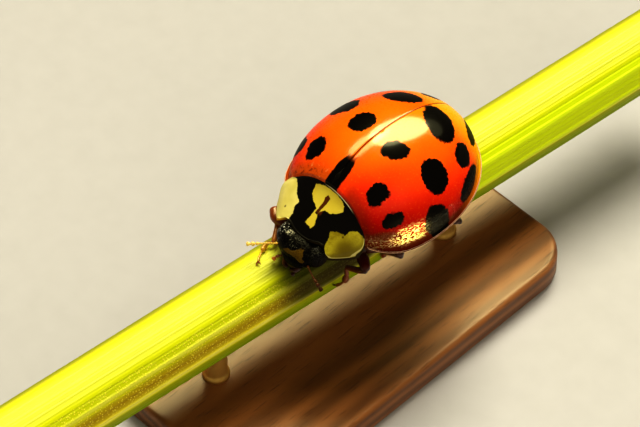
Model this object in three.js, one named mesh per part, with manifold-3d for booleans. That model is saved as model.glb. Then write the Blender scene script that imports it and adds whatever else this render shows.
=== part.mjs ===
// A harlequin ladybird, life size, walking along a cut length of grass stem on a small display stand.
// Millimetres, +Z up. The ladybird faces -Y and its left side is +X. The origin is on the floor, in the
// middle of the stand, and the beetle is drawn in a frame of its own: z = 0 there is the plane of the
// wing-case rim, and y = 0 is where the wing cases are widest.
import * as THREE from "three";
import { mergeVertices } from "three/addons/utils/BufferGeometryUtils.js";
import Module from "manifold-3d";

const wasm = await Module();
wasm.setup();

// ---- driving dimensions ----
const WIDTH = 5.05; // across the wing cases
const FRONT = 2.64; // from the widest point to where the dome's curve would end in front
const REAR = 3.18; // from the widest point to the tip of the wing cases
const HEIGHT = 2.32; // from the rim to the top of the dome
const SHOULDER = 2.3; // how square the plan is in front, where 2 is an ellipse
const SHOULDER_LIFT = 0.35; // how far the rim rises towards the shoulders
const SHELL = 0.5; // thickness of a wing case
const RIM = 0.12; // thickness of a thin outer edge
const SEAM = 0.03; // width of the thin cuts between plates
const NECK_Y = -1.97; // where the pronotum meets the wing cases, on the midline
const NECK_BOW = 0.085; // how fast that edge bends forward, per square of x

const PRONOTUM_MIDDLE = -2.52;
const PRONOTUM_THICK = 0.5;
const PRONOTUM_MARGIN = 0.14; // height of its side margins
const PRONOTUM_REAR_TOP = 1.42; // its height on the midline at the rear edge
const PRONOTUM_FALL = 0.86; // how steeply the midline falls towards the head
// Half of its plan, from the middle of the rear edge round to the middle of the front edge.
const PRONOTUM_PLAN = [
  [0, NECK_Y - SEAM / 2],
  [0.9, NECK_Y - 0.08],
  [1.44, NECK_Y - 0.2],
  [1.61, NECK_Y - 0.34],
  [1.53, NECK_Y - 0.56],
  [1.34, NECK_Y - 0.83],
  [1.08, NECK_Y - 1.1],
  [0.94, NECK_Y - 1.16],
  [0.66, NECK_Y - 1.08],
  [0, NECK_Y - 1.02],
];

const STEM_LENGTH = 25.6;
const STEM_RADIUS = 1.15;
const STEM_YAW = THREE.MathUtils.degToRad(-6); // the beetle walks a little across the stem
const STEM_BELOW = 0.55; // from the rim plane down to the crest of the stem
const STEM_ASIDE = -0.31; // the stem's axis at the beetle's widest point

const BASE_LENGTH = 13;
const BASE_WIDTH = 6.4;
const BASE_THICK = 0.9;
const ROD_RADIUS = 0.4;
const ROD_SHOWN = 1.5; // between the base and the stem
const ROD_SPREAD = 4.2; // each rod's distance from the middle
const ROD_BITE = 0.45; // how far a rod goes up into the stem

const BODY_Y = 1.5; // the beetle's place along the stem
const stemAxisZ = BASE_THICK + ROD_SHOWN + STEM_RADIUS;
const BODY_Z = stemAxisZ + STEM_RADIUS + STEM_BELOW;

const LOOKS = {
  elytra: { color: 0xe8380a, roughness: 0.22 },
  black: { color: 0x0a0807, roughness: 0.25 },
  pronotum: { color: 0xe9df9a, roughness: 0.3 },
  underside: { color: 0x2a1409, roughness: 0.45 },
  eyes: { color: 0x060606, roughness: 0.2 },
  legs: { color: 0x5a230a, roughness: 0.4 },
  feelers: { color: 0xa55a1c, roughness: 0.45 },
  stem: { color: 0xb9c42a, roughness: 0.55 },
  base: { color: 0x8a5a20, roughness: 0.5 },
  rods: { color: 0xb8913c, roughness: 0.3, metalness: 1 },
};

// ---- solids ----
const v3 = (x, y, z) => new THREE.Vector3(x, y, z);

function solidOf(geometry) {
  const bare = new THREE.BufferGeometry();
  bare.setAttribute("position", geometry.getAttribute("position"));
  if (geometry.index) bare.setIndex(geometry.index);
  const merged = mergeVertices(bare, 1e-4);
  const mesh = new wasm.Mesh({
    numProp: 3,
    vertProperties: new Float32Array(merged.attributes.position.array),
    triVerts: new Uint32Array(merged.index.array),
  });
  mesh.merge();
  return new wasm.Manifold(mesh);
}

// The mesh of a solid, without the slivers that a cut can leave beside its main body.
function geometryOf(solid) {
  const bodies = solid.decompose().sort((a, b) => b.volume() - a.volume());
  const mesh = bodies[0].getMesh();
  const points = new Float32Array(mesh.numVert * 3);
  for (let i = 0; i < mesh.numVert; i++) {
    points.set(mesh.vertProperties.subarray(i * mesh.numProp, i * mesh.numProp + 3), i * 3);
  }
  const geometry = new THREE.BufferGeometry();
  geometry.setAttribute("position", new THREE.BufferAttribute(points, 3));
  geometry.setIndex(new THREE.BufferAttribute(new Uint32Array(mesh.triVerts), 1));
  geometry.computeVertexNormals();
  return geometry;
}

// Moves every vertex of a geometry to move(x, y, z).
function shaped(geometry, move) {
  const at = geometry.getAttribute("position");
  for (let i = 0; i < at.count; i++) {
    const p = move(at.getX(i), at.getY(i), at.getZ(i));
    at.setXYZ(i, p.x, p.y, p.z);
  }
  return geometry;
}

function box(low, high) {
  const size = v3(high[0] - low[0], high[1] - low[1], high[2] - low[2]);
  const geometry = new THREE.BoxGeometry(size.x, size.y, size.z);
  geometry.translate((low[0] + high[0]) / 2, (low[1] + high[1]) / 2, (low[2] + high[2]) / 2);
  return solidOf(geometry);
}

function ellipsoid(centre, radii, across = 16, up = 10, tilt = 0) {
  const geometry = new THREE.SphereGeometry(1, across, up);
  geometry.scale(radii[0], radii[1], radii[2]);
  geometry.rotateX(tilt);
  geometry.translate(centre[0], centre[1], centre[2]);
  return solidOf(geometry);
}

// A turned profile, stretched to the plan of the wing cases: its radii are shares of the plan's outline.
function dome(profile, segments) {
  const lathe = new THREE.LatheGeometry(profile, segments);
  return solidOf(
    shaped(lathe, (x, y, z) => {
      const share = Math.hypot(x, z);
      if (z <= 0 || share === 0) return v3(x * (WIDTH / 2), -z * REAR, y);
      const square = share / (Math.abs(x) ** SHOULDER + z ** SHOULDER) ** (1 / SHOULDER);
      const forward = square * z * FRONT;
      const lift = SHOULDER_LIFT * Math.max(0, forward - 1.2) ** 2 * (1 - y / HEIGHT);
      return v3(square * x * (WIDTH / 2), -forward, y + lift);
    }),
  );
}

// A rounded limb of changing radius along a smooth path, with a round cap at each end.
function limb(path, radii, sides = 8, steps = 5) {
  const curve = new THREE.CatmullRomCurve3(path.map((p) => v3(...p)), false, "centripetal");
  const length = curve.getLength();
  const first = radii[0];
  const last = radii[radii.length - 1];
  const profile = [new THREE.Vector2(0, 0), new THREE.Vector2(first * 0.71, first * 0.29)];
  for (let i = 0; i <= steps; i++) {
    const share = i / steps;
    const at = share * (radii.length - 1);
    const low = Math.min(Math.floor(at), radii.length - 2);
    const radius = THREE.MathUtils.lerp(radii[low], radii[low + 1], at - low);
    profile.push(new THREE.Vector2(radius, THREE.MathUtils.lerp(first, length - last, share)));
  }
  profile.push(new THREE.Vector2(last * 0.71, length - last * 0.29), new THREE.Vector2(0, length));
  const lathe = new THREE.LatheGeometry(profile, sides);
  const middle = curve.getTangentAt(0.5);
  const reference = Math.abs(middle.z) > 0.8 ? v3(0, 1, 0) : v3(0, 0, 1);
  return solidOf(
    shaped(lathe, (x, y, z) => {
      const share = THREE.MathUtils.clamp(y / length, 0, 1);
      const tangent = curve.getTangentAt(share);
      const side = tangent.clone().cross(reference).normalize();
      const up = side.clone().cross(tangent);
      return curve.getPointAt(share).addScaledVector(side, x).addScaledVector(up, z);
    }),
  );
}

// ---- the wing cases ----
const DOME_STEPS = 10;
const FLANGE = 0.965; // share of the plan where the dome turns out into its thin margin

function domeArc(reach, top, foot, steps) {
  const points = [];
  for (let i = 0; i <= steps; i++) {
    const angle = (i / steps) * (Math.PI / 2);
    points.push(new THREE.Vector2(reach * Math.cos(angle), foot + (top - foot) * Math.sin(angle)));
  }
  points[steps].x = 0;
  return points;
}

function shellProfile() {
  const outer = domeArc(FLANGE, HEIGHT, RIM * 2, DOME_STEPS);
  const inside = 1 - (SHELL / WIDTH) * 2;
  const inner = domeArc(FLANGE * inside, HEIGHT - SHELL, 0, DOME_STEPS - 5).reverse();
  return [...inner, new THREE.Vector2(1, 0), new THREE.Vector2(1, RIM), ...outer];
}

// Everything in front of the bowed edge where the pronotum meets the wing cases.
function aheadOfNeck(offset) {
  const plan = new THREE.Shape();
  plan.moveTo(-4, -7);
  plan.lineTo(4, -7);
  for (let i = 0; i <= 16; i++) {
    const x = 4 - i * 0.5;
    plan.lineTo(x, NECK_Y - NECK_BOW * x * x + offset);
  }
  const geometry = new THREE.ExtrudeGeometry(plan, { depth: 6, bevelEnabled: false });
  geometry.translate(0, 0, -2);
  return solidOf(geometry);
}

function elytraShell() {
  return dome(shellProfile(), 42).subtract(aheadOfNeck(SEAM / 2));
}

function scutellumPrism(grow) {
  const half = 0.3 + grow;
  const long = 0.62 + grow * 1.6;
  const plan = new THREE.Shape([
    new THREE.Vector2(-half, 0),
    new THREE.Vector2(half, 0),
    new THREE.Vector2(half * 0.45, long * 0.62),
    new THREE.Vector2(0, long),
    new THREE.Vector2(-half * 0.45, long * 0.62),
  ]);
  const geometry = new THREE.ExtrudeGeometry(plan, { depth: 2, bevelEnabled: false });
  geometry.translate(0, NECK_Y + SEAM / 2 - grow, 1);
  return solidOf(geometry);
}

// ---- the pronotum, the head and what is under them ----
// The pronotum is an arched plate that slopes down from the wing cases to the head.
function pronotumTop(x, y) {
  const ahead = Math.max(0, NECK_Y - 0.33 - y);
  const half = 1.66 - 0.84 * ahead ** 1.2;
  const bow = Math.max(0, 1 - Math.abs(x / half) ** 2.2) ** 0.4;
  const ridge = PRONOTUM_REAR_TOP - PRONOTUM_FALL * (NECK_Y - y);
  return PRONOTUM_MARGIN + RIM + (ridge - PRONOTUM_MARGIN - RIM) * bow;
}

function pronotumPlate(grow = 0) {
  const half = PRONOTUM_PLAN.map(([x, y]) => v3(x, y, 0));
  const mirrored = half.slice(1, -1).reverse().map((p) => v3(-p.x, p.y, 0));
  const outline = new THREE.CatmullRomCurve3([...half, ...mirrored], true, "centripetal");
  const below = [0, 0.55, 0.85, 1].map((share) => new THREE.Vector2(share, 0));
  const above = [1, 0.95, 0.83, 0.65, 0.4, 0].map((share) => new THREE.Vector2(share, 1));
  return solidOf(
    shaped(new THREE.LatheGeometry([...below, ...above], 40), (x, y, z) => {
      const share = Math.hypot(x, z);
      const turn = (Math.atan2(x, -z) / (Math.PI * 2) + 1) % 1;
      const edge = outline.getPoint(turn);
      const across = edge.x * share * (1 + grow / 1.6);
      const along = PRONOTUM_MIDDLE + (edge.y - PRONOTUM_MIDDLE) * share * (1 + grow / 0.5);
      const top = pronotumTop(across, along);
      const low = Math.max(PRONOTUM_MARGIN, top - PRONOTUM_THICK);
      return v3(across, along, y > 0 ? top + grow : low - grow);
    }),
  );
}

const HEAD_AT = [0, -3.1, -0.04];
const HEAD_RADII = [0.76, 0.56, 0.58];
const EYE_AT = [0.58, -3.08, 0.02];
const EYE_RADII = [0.22, 0.36, 0.36];
const CHEST_AT = [0, -2.3, 0.2];
const CHEST_RADII = [1.45, 0.95, 0.7];

// ---- the underside ----
function underBody() {
  const inside = 1 - (SHELL / WIDTH) * 2;
  const top = domeArc(FLANGE * inside - SEAM, HEIGHT - SHELL - SEAM, 0, 5);
  const bottom = [[0, -0.36], [0.34, -0.34], [0.62, -0.24]].map(([r, z]) => new THREE.Vector2(r, z));
  return dome([...bottom, ...top], 28);
}

// The front of the body, below the pronotum: it runs from the neck forward into the back of the head.
function prothorax() {
  return ellipsoid(CHEST_AT, CHEST_RADII, 18, 10, -0.5).intersect(aheadOfNeck(-SEAM / 2));
}

// ---- legs: hip, knee, ankle and claw of each, and a bow on the shin ----
const LEGS = {
  front_left: {
    hip: [0.55, -2.4, -0.3],
    knee: [1.82, -2.4, -0.2],
    bow: [1.5, -2.42, -0.45],
    ankle: [1.0, -2.36, -0.85],
    claw: [0.82, -2.2, -1.9],
  },
  front_right: {
    hip: [-0.55, -2.4, -0.3],
    knee: [-1.56, -2.7, -0.02],
    bow: [-1.35, -3.0, -0.12],
    ankle: [-0.85, -3.42, -0.42],
    claw: [-0.76, -4.1, -0.42],
  },
  middle_left: {
    hip: [0.85, -0.95, -0.36],
    knee: [2.04, -1.2, -0.42],
    bow: [1.62, -1.12, -0.72],
    ankle: [1.1, -0.98, -1.2],
    claw: [1.02, -0.8, -1.85],
  },
  middle_right: {
    hip: [-0.85, -0.95, -0.36],
    knee: [-2.1, -1.3, -0.42],
    bow: [-1.95, -1.2, -0.8],
    ankle: [-1.76, -1.08, -1.25],
    claw: [-1.68, -0.85, -1.9],
  },
  hind_left: {
    hip: [0.85, 0.45, -0.38],
    knee: [2.3, 0.86, -0.46],
    bow: [1.95, 1.1, -0.75],
    ankle: [1.34, 1.5, -1.25],
    claw: [1.24, 1.75, -1.9],
  },
  hind_right: {
    hip: [-0.85, 0.45, -0.38],
    knee: [-2.24, 0.95, -0.46],
    bow: [-2.02, 1.2, -0.8],
    ankle: [-1.64, 1.55, -1.3],
    claw: [-1.5, 1.8, -1.92],
  },
};

const THIGH = [0.25, 0.29, 0.28, 0.25];
const SHIN = [0.25, 0.25, 0.25];
const FOOT = [0.25, 0.26, 0.24];

// ---- feelers and palps ----
const FEELERS = {
  left: { path: [[0.46, -3.44, -0.12], [0.78, -3.56, -0.2], [1.04, -3.6, -0.36]], tip: [1.2, -3.58, -0.5] },
  right: { path: [[-0.46, -3.46, -0.06], [-0.74, -3.76, -0.02], [-0.94, -4.0, 0]], tip: [-1.06, -4.14, -0.02] },
};
const FEELER = [0.24, 0.24, 0.24];
const CLUB = [0.26, 0.26, 0.26];
const PALPS = [
  [[0.24, -3.5, -0.42], [0.36, -3.72, -0.5], [0.42, -3.86, -0.62]],
  [[-0.24, -3.5, -0.42], [-0.34, -3.7, -0.46], [-0.3, -3.9, -0.56]],
];
const PALP = [0.2, 0.21, 0.23];

// ---- perch and stand ----
function stemOutline() {
  const points = [];
  const count = 44;
  for (let i = 0; i < count; i++) {
    const angle = (i / count) * Math.PI * 2;
    const ribs = 0.035 * Math.cos(angle * 11);
    const radius = STEM_RADIUS - 0.035 + ribs;
    points.push(new THREE.Vector2(radius * Math.cos(angle), radius * Math.sin(angle)));
  }
  return new THREE.Shape(points);
}

const STEM_MIDDLE_X = STEM_ASIDE + BODY_Y * Math.tan(STEM_YAW);

function stem() {
  const geometry = new THREE.ExtrudeGeometry(stemOutline(), { depth: STEM_LENGTH, bevelEnabled: false });
  geometry.translate(0, 0, -STEM_LENGTH / 2);
  geometry.rotateX(Math.PI / 2);
  geometry.rotateZ(STEM_YAW);
  geometry.translate(STEM_MIDDLE_X, 0, stemAxisZ);
  return solidOf(geometry);
}

function baseBoard() {
  const corner = 1.2;
  const x = BASE_WIDTH / 2;
  const y = BASE_LENGTH / 2;
  const bevel = 0.15;
  const plan = new THREE.Shape();
  plan.moveTo(-x + bevel + corner, -y + bevel);
  plan.lineTo(x - bevel - corner, -y + bevel);
  plan.absarc(x - bevel - corner, -y + bevel + corner, corner, -Math.PI / 2, 0);
  plan.absarc(x - bevel - corner, y - bevel - corner, corner, 0, Math.PI / 2);
  plan.absarc(-x + bevel + corner, y - bevel - corner, corner, Math.PI / 2, Math.PI);
  plan.absarc(-x + bevel + corner, -y + bevel + corner, corner, Math.PI, Math.PI * 1.5);
  const geometry = new THREE.ExtrudeGeometry(plan, {
    depth: BASE_THICK - bevel * 2,
    bevelThickness: bevel,
    bevelSize: bevel,
    bevelSegments: 1,
    curveSegments: 5,
  });
  geometry.translate(0, 0, bevel);
  return solidOf(geometry);
}

function rod(y) {
  const low = BASE_THICK;
  const high = stemAxisZ - STEM_RADIUS + ROD_BITE;
  const geometry = new THREE.CylinderGeometry(ROD_RADIUS, ROD_RADIUS, high - low, 20);
  geometry.rotateX(Math.PI / 2);
  geometry.translate(STEM_MIDDLE_X - y * Math.tan(STEM_YAW), y, (low + high) / 2);
  return solidOf(geometry);
}

// ---- the whole model ----
const model = new THREE.Group();
const beetle = new THREE.Group();
beetle.position.set(0, BODY_Y, BODY_Z);
model.add(beetle);

function add(group, name, solid, look) {
  const mesh = new THREE.Mesh(geometryOf(solid), new THREE.MeshStandardMaterial(LOOKS[look]));
  mesh.name = name;
  group.add(mesh);
}

function addPerchAndStand() {
  const rods = { stand_rod_front: rod(-ROD_SPREAD), stand_rod_rear: rod(ROD_SPREAD) };
  let perch = stem();
  for (const [name, solid] of Object.entries(rods)) {
    perch = perch.subtract(solid);
    add(model, name, solid, "rods");
  }
  add(model, "perch_stem", perch, "stem");
  add(model, "stand_base", baseBoard(), "base");
  return perch.translate([0, -BODY_Y, -BODY_Z]);
}

function addBody() {
  const whole = elytraShell();
  const shell = whole.subtract(scutellumPrism(SEAM));
  add(beetle, "elytron_left", shell.intersect(box([SEAM / 2, -4, -1], [4, 4, 4])), "elytra");
  add(beetle, "elytron_right", shell.intersect(box([-4, -4, -1], [-SEAM / 2, 4, 4])), "elytra");
  add(beetle, "scutellum", whole.intersect(scutellumPrism(0)), "black");
  const plate = pronotumPlate();
  add(beetle, "pronotum", plate, "pronotum");
  const plates = whole.add(pronotumPlate(SEAM));

  const under = underBody().subtract(aheadOfNeck(SEAM / 2));
  const waist = 0.3;
  add(beetle, "thorax", under.intersect(box([-4, -4, -1], [4, waist - SEAM / 2, 4])), "underside");
  add(beetle, "abdomen", under.intersect(box([-4, waist + SEAM / 2, -1], [4, 4, 4])), "underside");

  const eyeball = (side, grow = 0) => {
    const radii = EYE_RADII.map((radius) => radius + grow);
    return ellipsoid([side * EYE_AT[0], EYE_AT[1], EYE_AT[2]], radii, 12, 8, -0.4);
  };
  const cranium = (grow = 0) => {
    const radii = HEAD_RADII.map((radius) => radius + grow);
    return ellipsoid(HEAD_AT, radii, 20, 12, -0.3);
  };
  const eyes = [1, -1].map((side) => eyeball(side).subtract(plates));
  const skull = cranium().subtract(plates);
  add(beetle, "head", skull.subtract(eyes[0]).subtract(eyes[1]), "black");
  add(beetle, "eye_left", eyes[0], "eyes");
  add(beetle, "eye_right", eyes[1], "eyes");
  const face = cranium(SEAM).add(eyeball(1, SEAM)).add(eyeball(-1, SEAM));

  const lip = ellipsoid([0, -3.42, -0.4], [0.4, 0.3, 0.22], 16, 8, 0.5);
  const mouth = PALPS.reduce((all, path) => all.add(limb(path, PALP, 8, 2)), lip).subtract(face);
  add(beetle, "mouthparts", mouth, "feelers");
  const chest = prothorax().subtract(face).subtract(plates);
  add(beetle, "prothorax", chest, "underside");
  return [plates, under, face, mouth, chest].reduce((all, solid) => all.add(solid));
}

function addFeelers(body) {
  let taken = body;
  for (const side of ["left", "right"]) {
    const { path, tip } = FEELERS[side];
    for (const [piece, solid] of [["stalk", limb(path, FEELER, 8, 2)], ["club", ellipsoid(tip, CLUB, 10, 8)]]) {
      add(beetle, `antenna_${side}_${piece}`, solid.subtract(taken), "feelers");
      taken = taken.add(solid);
    }
  }
  return taken;
}

function addLegs(body, perch) {
  const near = body.add(perch);
  for (const [name, leg] of Object.entries(LEGS)) {
    const halfway = (from, to) => from.map((c, i) => (c + to[i]) / 2);
    const hip = ellipsoid(leg.hip, [0.3, 0.25, 0.24], 10, 6);
    const thigh = limb([leg.hip, halfway(leg.hip, leg.knee), leg.knee], THIGH, 8, 3);
    const shin = limb([leg.knee, leg.bow, leg.ankle], SHIN, 8, 3);
    const foot = limb([leg.ankle, halfway(leg.ankle, leg.claw), leg.claw], FOOT, 8, 2);
    let taken = near;
    for (const [piece, solid] of Object.entries({ hip, thigh, shin, foot })) {
      add(beetle, `leg_${name}_${piece}`, solid.subtract(taken), "legs");
      taken = taken.add(solid);
    }
  }
}

const perch = addPerchAndStand();
const body = addFeelers(addBody());
addLegs(body, perch);

export default model;
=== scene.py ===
# %% [markdown]
# # A ladybird on a grass stem
# This lesson dresses a life-size museum model of a harlequin ladybird. A CAD model has already fixed every
# size, so the first step is to load it. Each of its solids is a node, and each piece made below stands in
# for one or more nodes. All sizes are written in millimetres, in the beetle's own frame. Blender works in
# metres, so one number converts them.

# %% Load the frame
import bmesh
import bpy
import random
from math import copysign, cos, degrees, exp, hypot, pi, radians, sin, sqrt, tau
from mathutils import Matrix, Vector, noise


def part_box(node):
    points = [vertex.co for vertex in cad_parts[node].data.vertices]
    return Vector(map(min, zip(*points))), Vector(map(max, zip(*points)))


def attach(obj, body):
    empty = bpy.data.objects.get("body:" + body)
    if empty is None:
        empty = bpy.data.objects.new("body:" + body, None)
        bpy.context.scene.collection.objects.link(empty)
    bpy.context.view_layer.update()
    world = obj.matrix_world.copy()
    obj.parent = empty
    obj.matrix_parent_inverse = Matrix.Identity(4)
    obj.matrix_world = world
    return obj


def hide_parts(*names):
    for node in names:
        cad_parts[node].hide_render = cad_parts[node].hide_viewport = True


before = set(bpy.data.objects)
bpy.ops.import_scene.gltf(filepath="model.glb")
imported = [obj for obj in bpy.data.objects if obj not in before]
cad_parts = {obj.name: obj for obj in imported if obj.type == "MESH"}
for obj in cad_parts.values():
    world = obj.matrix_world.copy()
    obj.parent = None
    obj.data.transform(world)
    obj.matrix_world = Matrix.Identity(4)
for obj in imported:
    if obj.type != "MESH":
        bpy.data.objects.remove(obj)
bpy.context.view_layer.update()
MM = 0.001
print("nodes in the frame:", len(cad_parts))

# %% [markdown]
# The wing cases are half of an egg, cut flat at the rim, and widest a little in front of the middle. That
# widest place is the origin of the beetle's frame, with x to the beetle's left, y towards its tail, and z
# up from the plane of the rim. The loaded nodes say where this origin is in the scene.

# %% Sizes of the beetle, and its place in the scene
HALF_WIDTH = 2.525
FRONT = 2.64
REAR = 3.18
HEIGHT = 2.32
SQUARENESS = 2.3
SHOULDER_LIFT = 0.35
SEAM = 0.014
NECK_Y = -1.97
NECK_BOW = 0.085

shell_low, shell_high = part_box("elytron_left")
BEETLE = Vector((0.0, shell_high[1] - REAR * MM, shell_low[2]))
print("origin of the beetle, mm:", [round(c / MM, 3) for c in BEETLE])


def place_of(x, y, z):
    """A point given in the beetle's millimetres, in scene metres."""
    return BEETLE + Vector((x, y, z)) * MM


def footing(node):
    """The middle of a node's underside, in scene metres, and the node's size in millimetres."""
    low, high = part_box(node)
    middle = Vector(((low[0] + high[0]) / 2, (low[1] + high[1]) / 2, low[2]))
    return middle, [(b - a) / MM for a, b in zip(low, high)]


# %% [markdown]
# A camera close to a 7 mm animal would bend its perspective, so a long lens stands 12 cm away, as a macro
# lens does. It looks down from the front left of the beetle, 50 degrees above the horizon. Its near
# clipping distance is tiny too, or the whole subject would be cut away.

# %% The camera
VIEW_TURN = radians(45)
VIEW_RISE = radians(50)
VIEW_DISTANCE = 120 * MM
LENS = 238.9
SENSOR = 36
NEAR_LIMIT = 1 * MM
FAR_LIMIT = 2.0

aim = place_of(-0.76, -1.656, -0.532)
towards_camera = Vector((
    sin(VIEW_TURN) * cos(VIEW_RISE),
    -cos(VIEW_TURN) * cos(VIEW_RISE),
    sin(VIEW_RISE),
))
camera = bpy.data.objects.new("camera", bpy.data.cameras.new("camera"))
bpy.context.collection.objects.link(camera)
camera.location = aim + towards_camera * VIEW_DISTANCE
camera.rotation_mode = "QUATERNION"
camera.rotation_quaternion = (-towards_camera).to_track_quat("-Z", "Y")
camera.data.sensor_width = SENSOR
camera.data.lens = LENS
camera.data.clip_start = NEAR_LIMIT
camera.data.clip_end = FAR_LIMIT
bpy.context.scene.camera = camera
print("camera height above the floor, mm:", round(camera.location.z / MM, 1))

# %% [markdown]
# Every finish in this lesson is made of nodes. Writing a node for each plus and times is slow to read, so
# one small class wraps a node's output, and Python's own operators add the Math nodes: with it,
# `1 - mask * 0.5` builds two nodes. A second class holds a tree of nodes, and its single method adds any
# other node: it takes the type, then the settings, then what goes into the sockets. A material is such
# a tree with a shader at its end.

# %% A small language for finishes
def math_node(operation, turned=False):
    """A method that joins a reading and another value with one Math node."""
    def joined(self, other):
        pair = (other, self) if turned else (self, other)
        return self.finish.node("ShaderNodeMath", {"operation": operation}, dict(enumerate(pair)))
    return joined


class Reading:
    """A value that a node gives, on which arithmetic adds Math nodes."""

    def __init__(self, finish, socket):
        self.finish = finish
        self.socket = socket

    __add__ = math_node("ADD")
    __radd__ = math_node("ADD", turned=True)
    __sub__ = math_node("SUBTRACT")
    __rsub__ = math_node("SUBTRACT", turned=True)
    __mul__ = math_node("MULTIPLY")
    __rmul__ = math_node("MULTIPLY", turned=True)
    __truediv__ = math_node("DIVIDE")
    __rtruediv__ = math_node("DIVIDE", turned=True)
    least = math_node("MINIMUM")
    most = math_node("MAXIMUM")


class Tree:
    """Nodes that belong together."""

    def __init__(self, tree):
        self.tree = tree

    def put(self, socket, value):
        if isinstance(value, Reading):
            self.tree.links.new(value.socket, socket)
        elif socket.type == "RGBA":
            socket.default_value = (*tint(*value), 1.0)
        else:
            socket.default_value = value

    def node(self, kind, settings=None, sockets=None, out=0):
        made = self.tree.nodes.new(kind)
        for setting, value in (settings or {}).items():
            if setting == "stops":
                lay_stops(made.color_ramp, value)
            else:
                setattr(made, setting, value)
        for name, value in (sockets or {}).items():
            self.put(made.inputs[name], value)
        return Reading(self, made.outputs[out])


class Finish(Tree):
    """One procedural material."""

    def __init__(self, name):
        self.material = bpy.data.materials.new(name)
        self.material.use_nodes = True
        super().__init__(self.material.node_tree)
        self.tree.nodes.clear()
        self.skin = self.tree.nodes.new("ShaderNodeBsdfPrincipled")
        end = self.tree.nodes.new("ShaderNodeOutputMaterial")
        self.tree.links.new(self.skin.outputs[0], end.inputs["Surface"])

    def wear(self, **sockets):
        """Puts values or readings on the shader, such as Base_Color=..."""
        for name, value in sockets.items():
            self.put(self.skin.inputs[name.replace("_", " ")], value)
        print("the finish", self.material.name, "has", len(self.tree.nodes), "nodes")


# %% [markdown]
# Colours are easiest to name as a painter mixes them on a screen, from 0 to 255, but the shader works with
# light, where half as bright is half the number. One function converts them. The helpers after it are the
# node groups that come back in almost every finish, such as where a point is in the beetle's millimetres,
# a soft step, a mix of two colours, and a dent, which turns a height into a tilt of the surface.

# %% Colours and the helpers that most finishes share
def tint(red, green, blue):
    """A colour mixed on the screen, as light."""
    return tuple(
        c / 255 / 12.92 if c <= 10 else ((c / 255 + 0.055) / 1.055) ** 2.4 for c in (red, green, blue)
    )


def where(finish, stretch=(1, 1, 1)):
    """The place of a point in the beetle's millimetres, stretched for long or flat patterns."""
    start = finish.node("ShaderNodeTexCoord", out=3)
    scale = [s / MM for s in stretch]
    shift = [-c * s for c, s in zip(BEETLE, scale)]
    return finish.node("ShaderNodeMapping", sockets={"Vector": start, "Location": shift, "Scale": scale})


def parts(vector):
    """The three numbers of a vector."""
    first = vector.finish.node("ShaderNodeSeparateXYZ", sockets={"Vector": vector})
    return [Reading(vector.finish, socket) for socket in first.socket.node.outputs]


def written(finish):
    """The three numbers that a piece's mesh holds at each point."""
    return parts(finish.node("ShaderNodeAttribute", {"attribute_name": "notes"}, out=1))


def vector_math(operation, first, second=(0, 0, 0), third=(0, 0, 0), out=0):
    sockets = {0: first, 1: second, 2: third}
    return first.finish.node("ShaderNodeVectorMath", {"operation": operation}, sockets, out)


def away_from(place, point):
    """How far a place is from a point, in millimetres."""
    return vector_math("DISTANCE", place, point, out=1)


def without_sign(value):
    return value.finish.node("ShaderNodeMath", {"operation": "ABSOLUTE"}, {0: value})


# %% Soft steps, mixes, mottling and pits
def step(value, low, high):
    """0 at low and 1 at high, with a soft change between them. Low may be the larger number."""
    return value.finish.node(
        "ShaderNodeMapRange",
        {"interpolation_type": "SMOOTHSTEP"},
        {"Value": value, "From Min": low, "From Max": high},
    )


def band(value, low, full, fading, high):
    """0 below low and above high, and 1 from full to fading."""
    return step(value, low, full) * step(value, high, fading)


def blend(first, second, share):
    return share.finish.node("ShaderNodeMix", {"data_type": "RGBA"}, {0: share, 6: first, 7: second}, 2)


def lay_stops(ramp, stops):
    """Gives a colour ramp its stops: pairs of a place from 0 to 1 and a colour."""
    while len(ramp.elements) < len(stops):
        ramp.elements.new(1.0)
    for element, (at, colour) in zip(ramp.elements, stops):
        element.position = at
        element.color = (*tint(*colour), 1.0)


def ramp_tint(value, stops):
    return value.finish.node("ShaderNodeValToRGB", {"stops": stops}, {"Fac": value})


def mottle(vector, per_mm, detail=2.0, roughness=0.5):
    return vector.finish.node(
        "ShaderNodeTexNoise",
        sockets={"Vector": vector, "Scale": per_mm, "Detail": detail, "Roughness": roughness},
    )


def pits(vector, per_mm, width):
    """0 in the middle of scattered round pits and 1 between them."""
    near = vector.finish.node("ShaderNodeTexVoronoi", sockets={"Vector": vector, "Scale": per_mm})
    return step(near, 0.0, width)


def dent(height, depth):
    """A bump whose depth is in millimetres."""
    return height.finish.node("ShaderNodeBump", sockets={"Height": height, "Distance": depth * MM})


# %% [markdown]
# The floor is plain and pale and much larger than the model, so that its edge never shows. The room around
# it is dim and warm, brighter on the beetle's left, and has a pale band along the horizon that hides where
# the floor ends. The floor's colour hardly varies: a faint mottling keeps it from looking like paper.

# %% The floor and the room
FLOOR_HALF = 20000
floor_mesh = bpy.data.meshes.new("floor")
FLOOR_SIGNS = [(-1, -1), (1, -1), (1, 1), (-1, 1)]
floor_corners = [(x * FLOOR_HALF * MM, y * FLOOR_HALF * MM, 0) for x, y in FLOOR_SIGNS]
floor_mesh.from_pydata(floor_corners, [], [(0, 1, 2, 3)])
floor = bpy.data.objects.new("floor", floor_mesh)
bpy.context.collection.objects.link(floor)
floor_paint = Finish("floor_paint")
floor_paint.wear(
    Base_Color=blend((180, 178, 176), (187, 185, 183), mottle(where(floor_paint), 1.5)),
    Roughness=0.9,
)
floor_mesh.materials.append(floor_paint.material)

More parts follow.
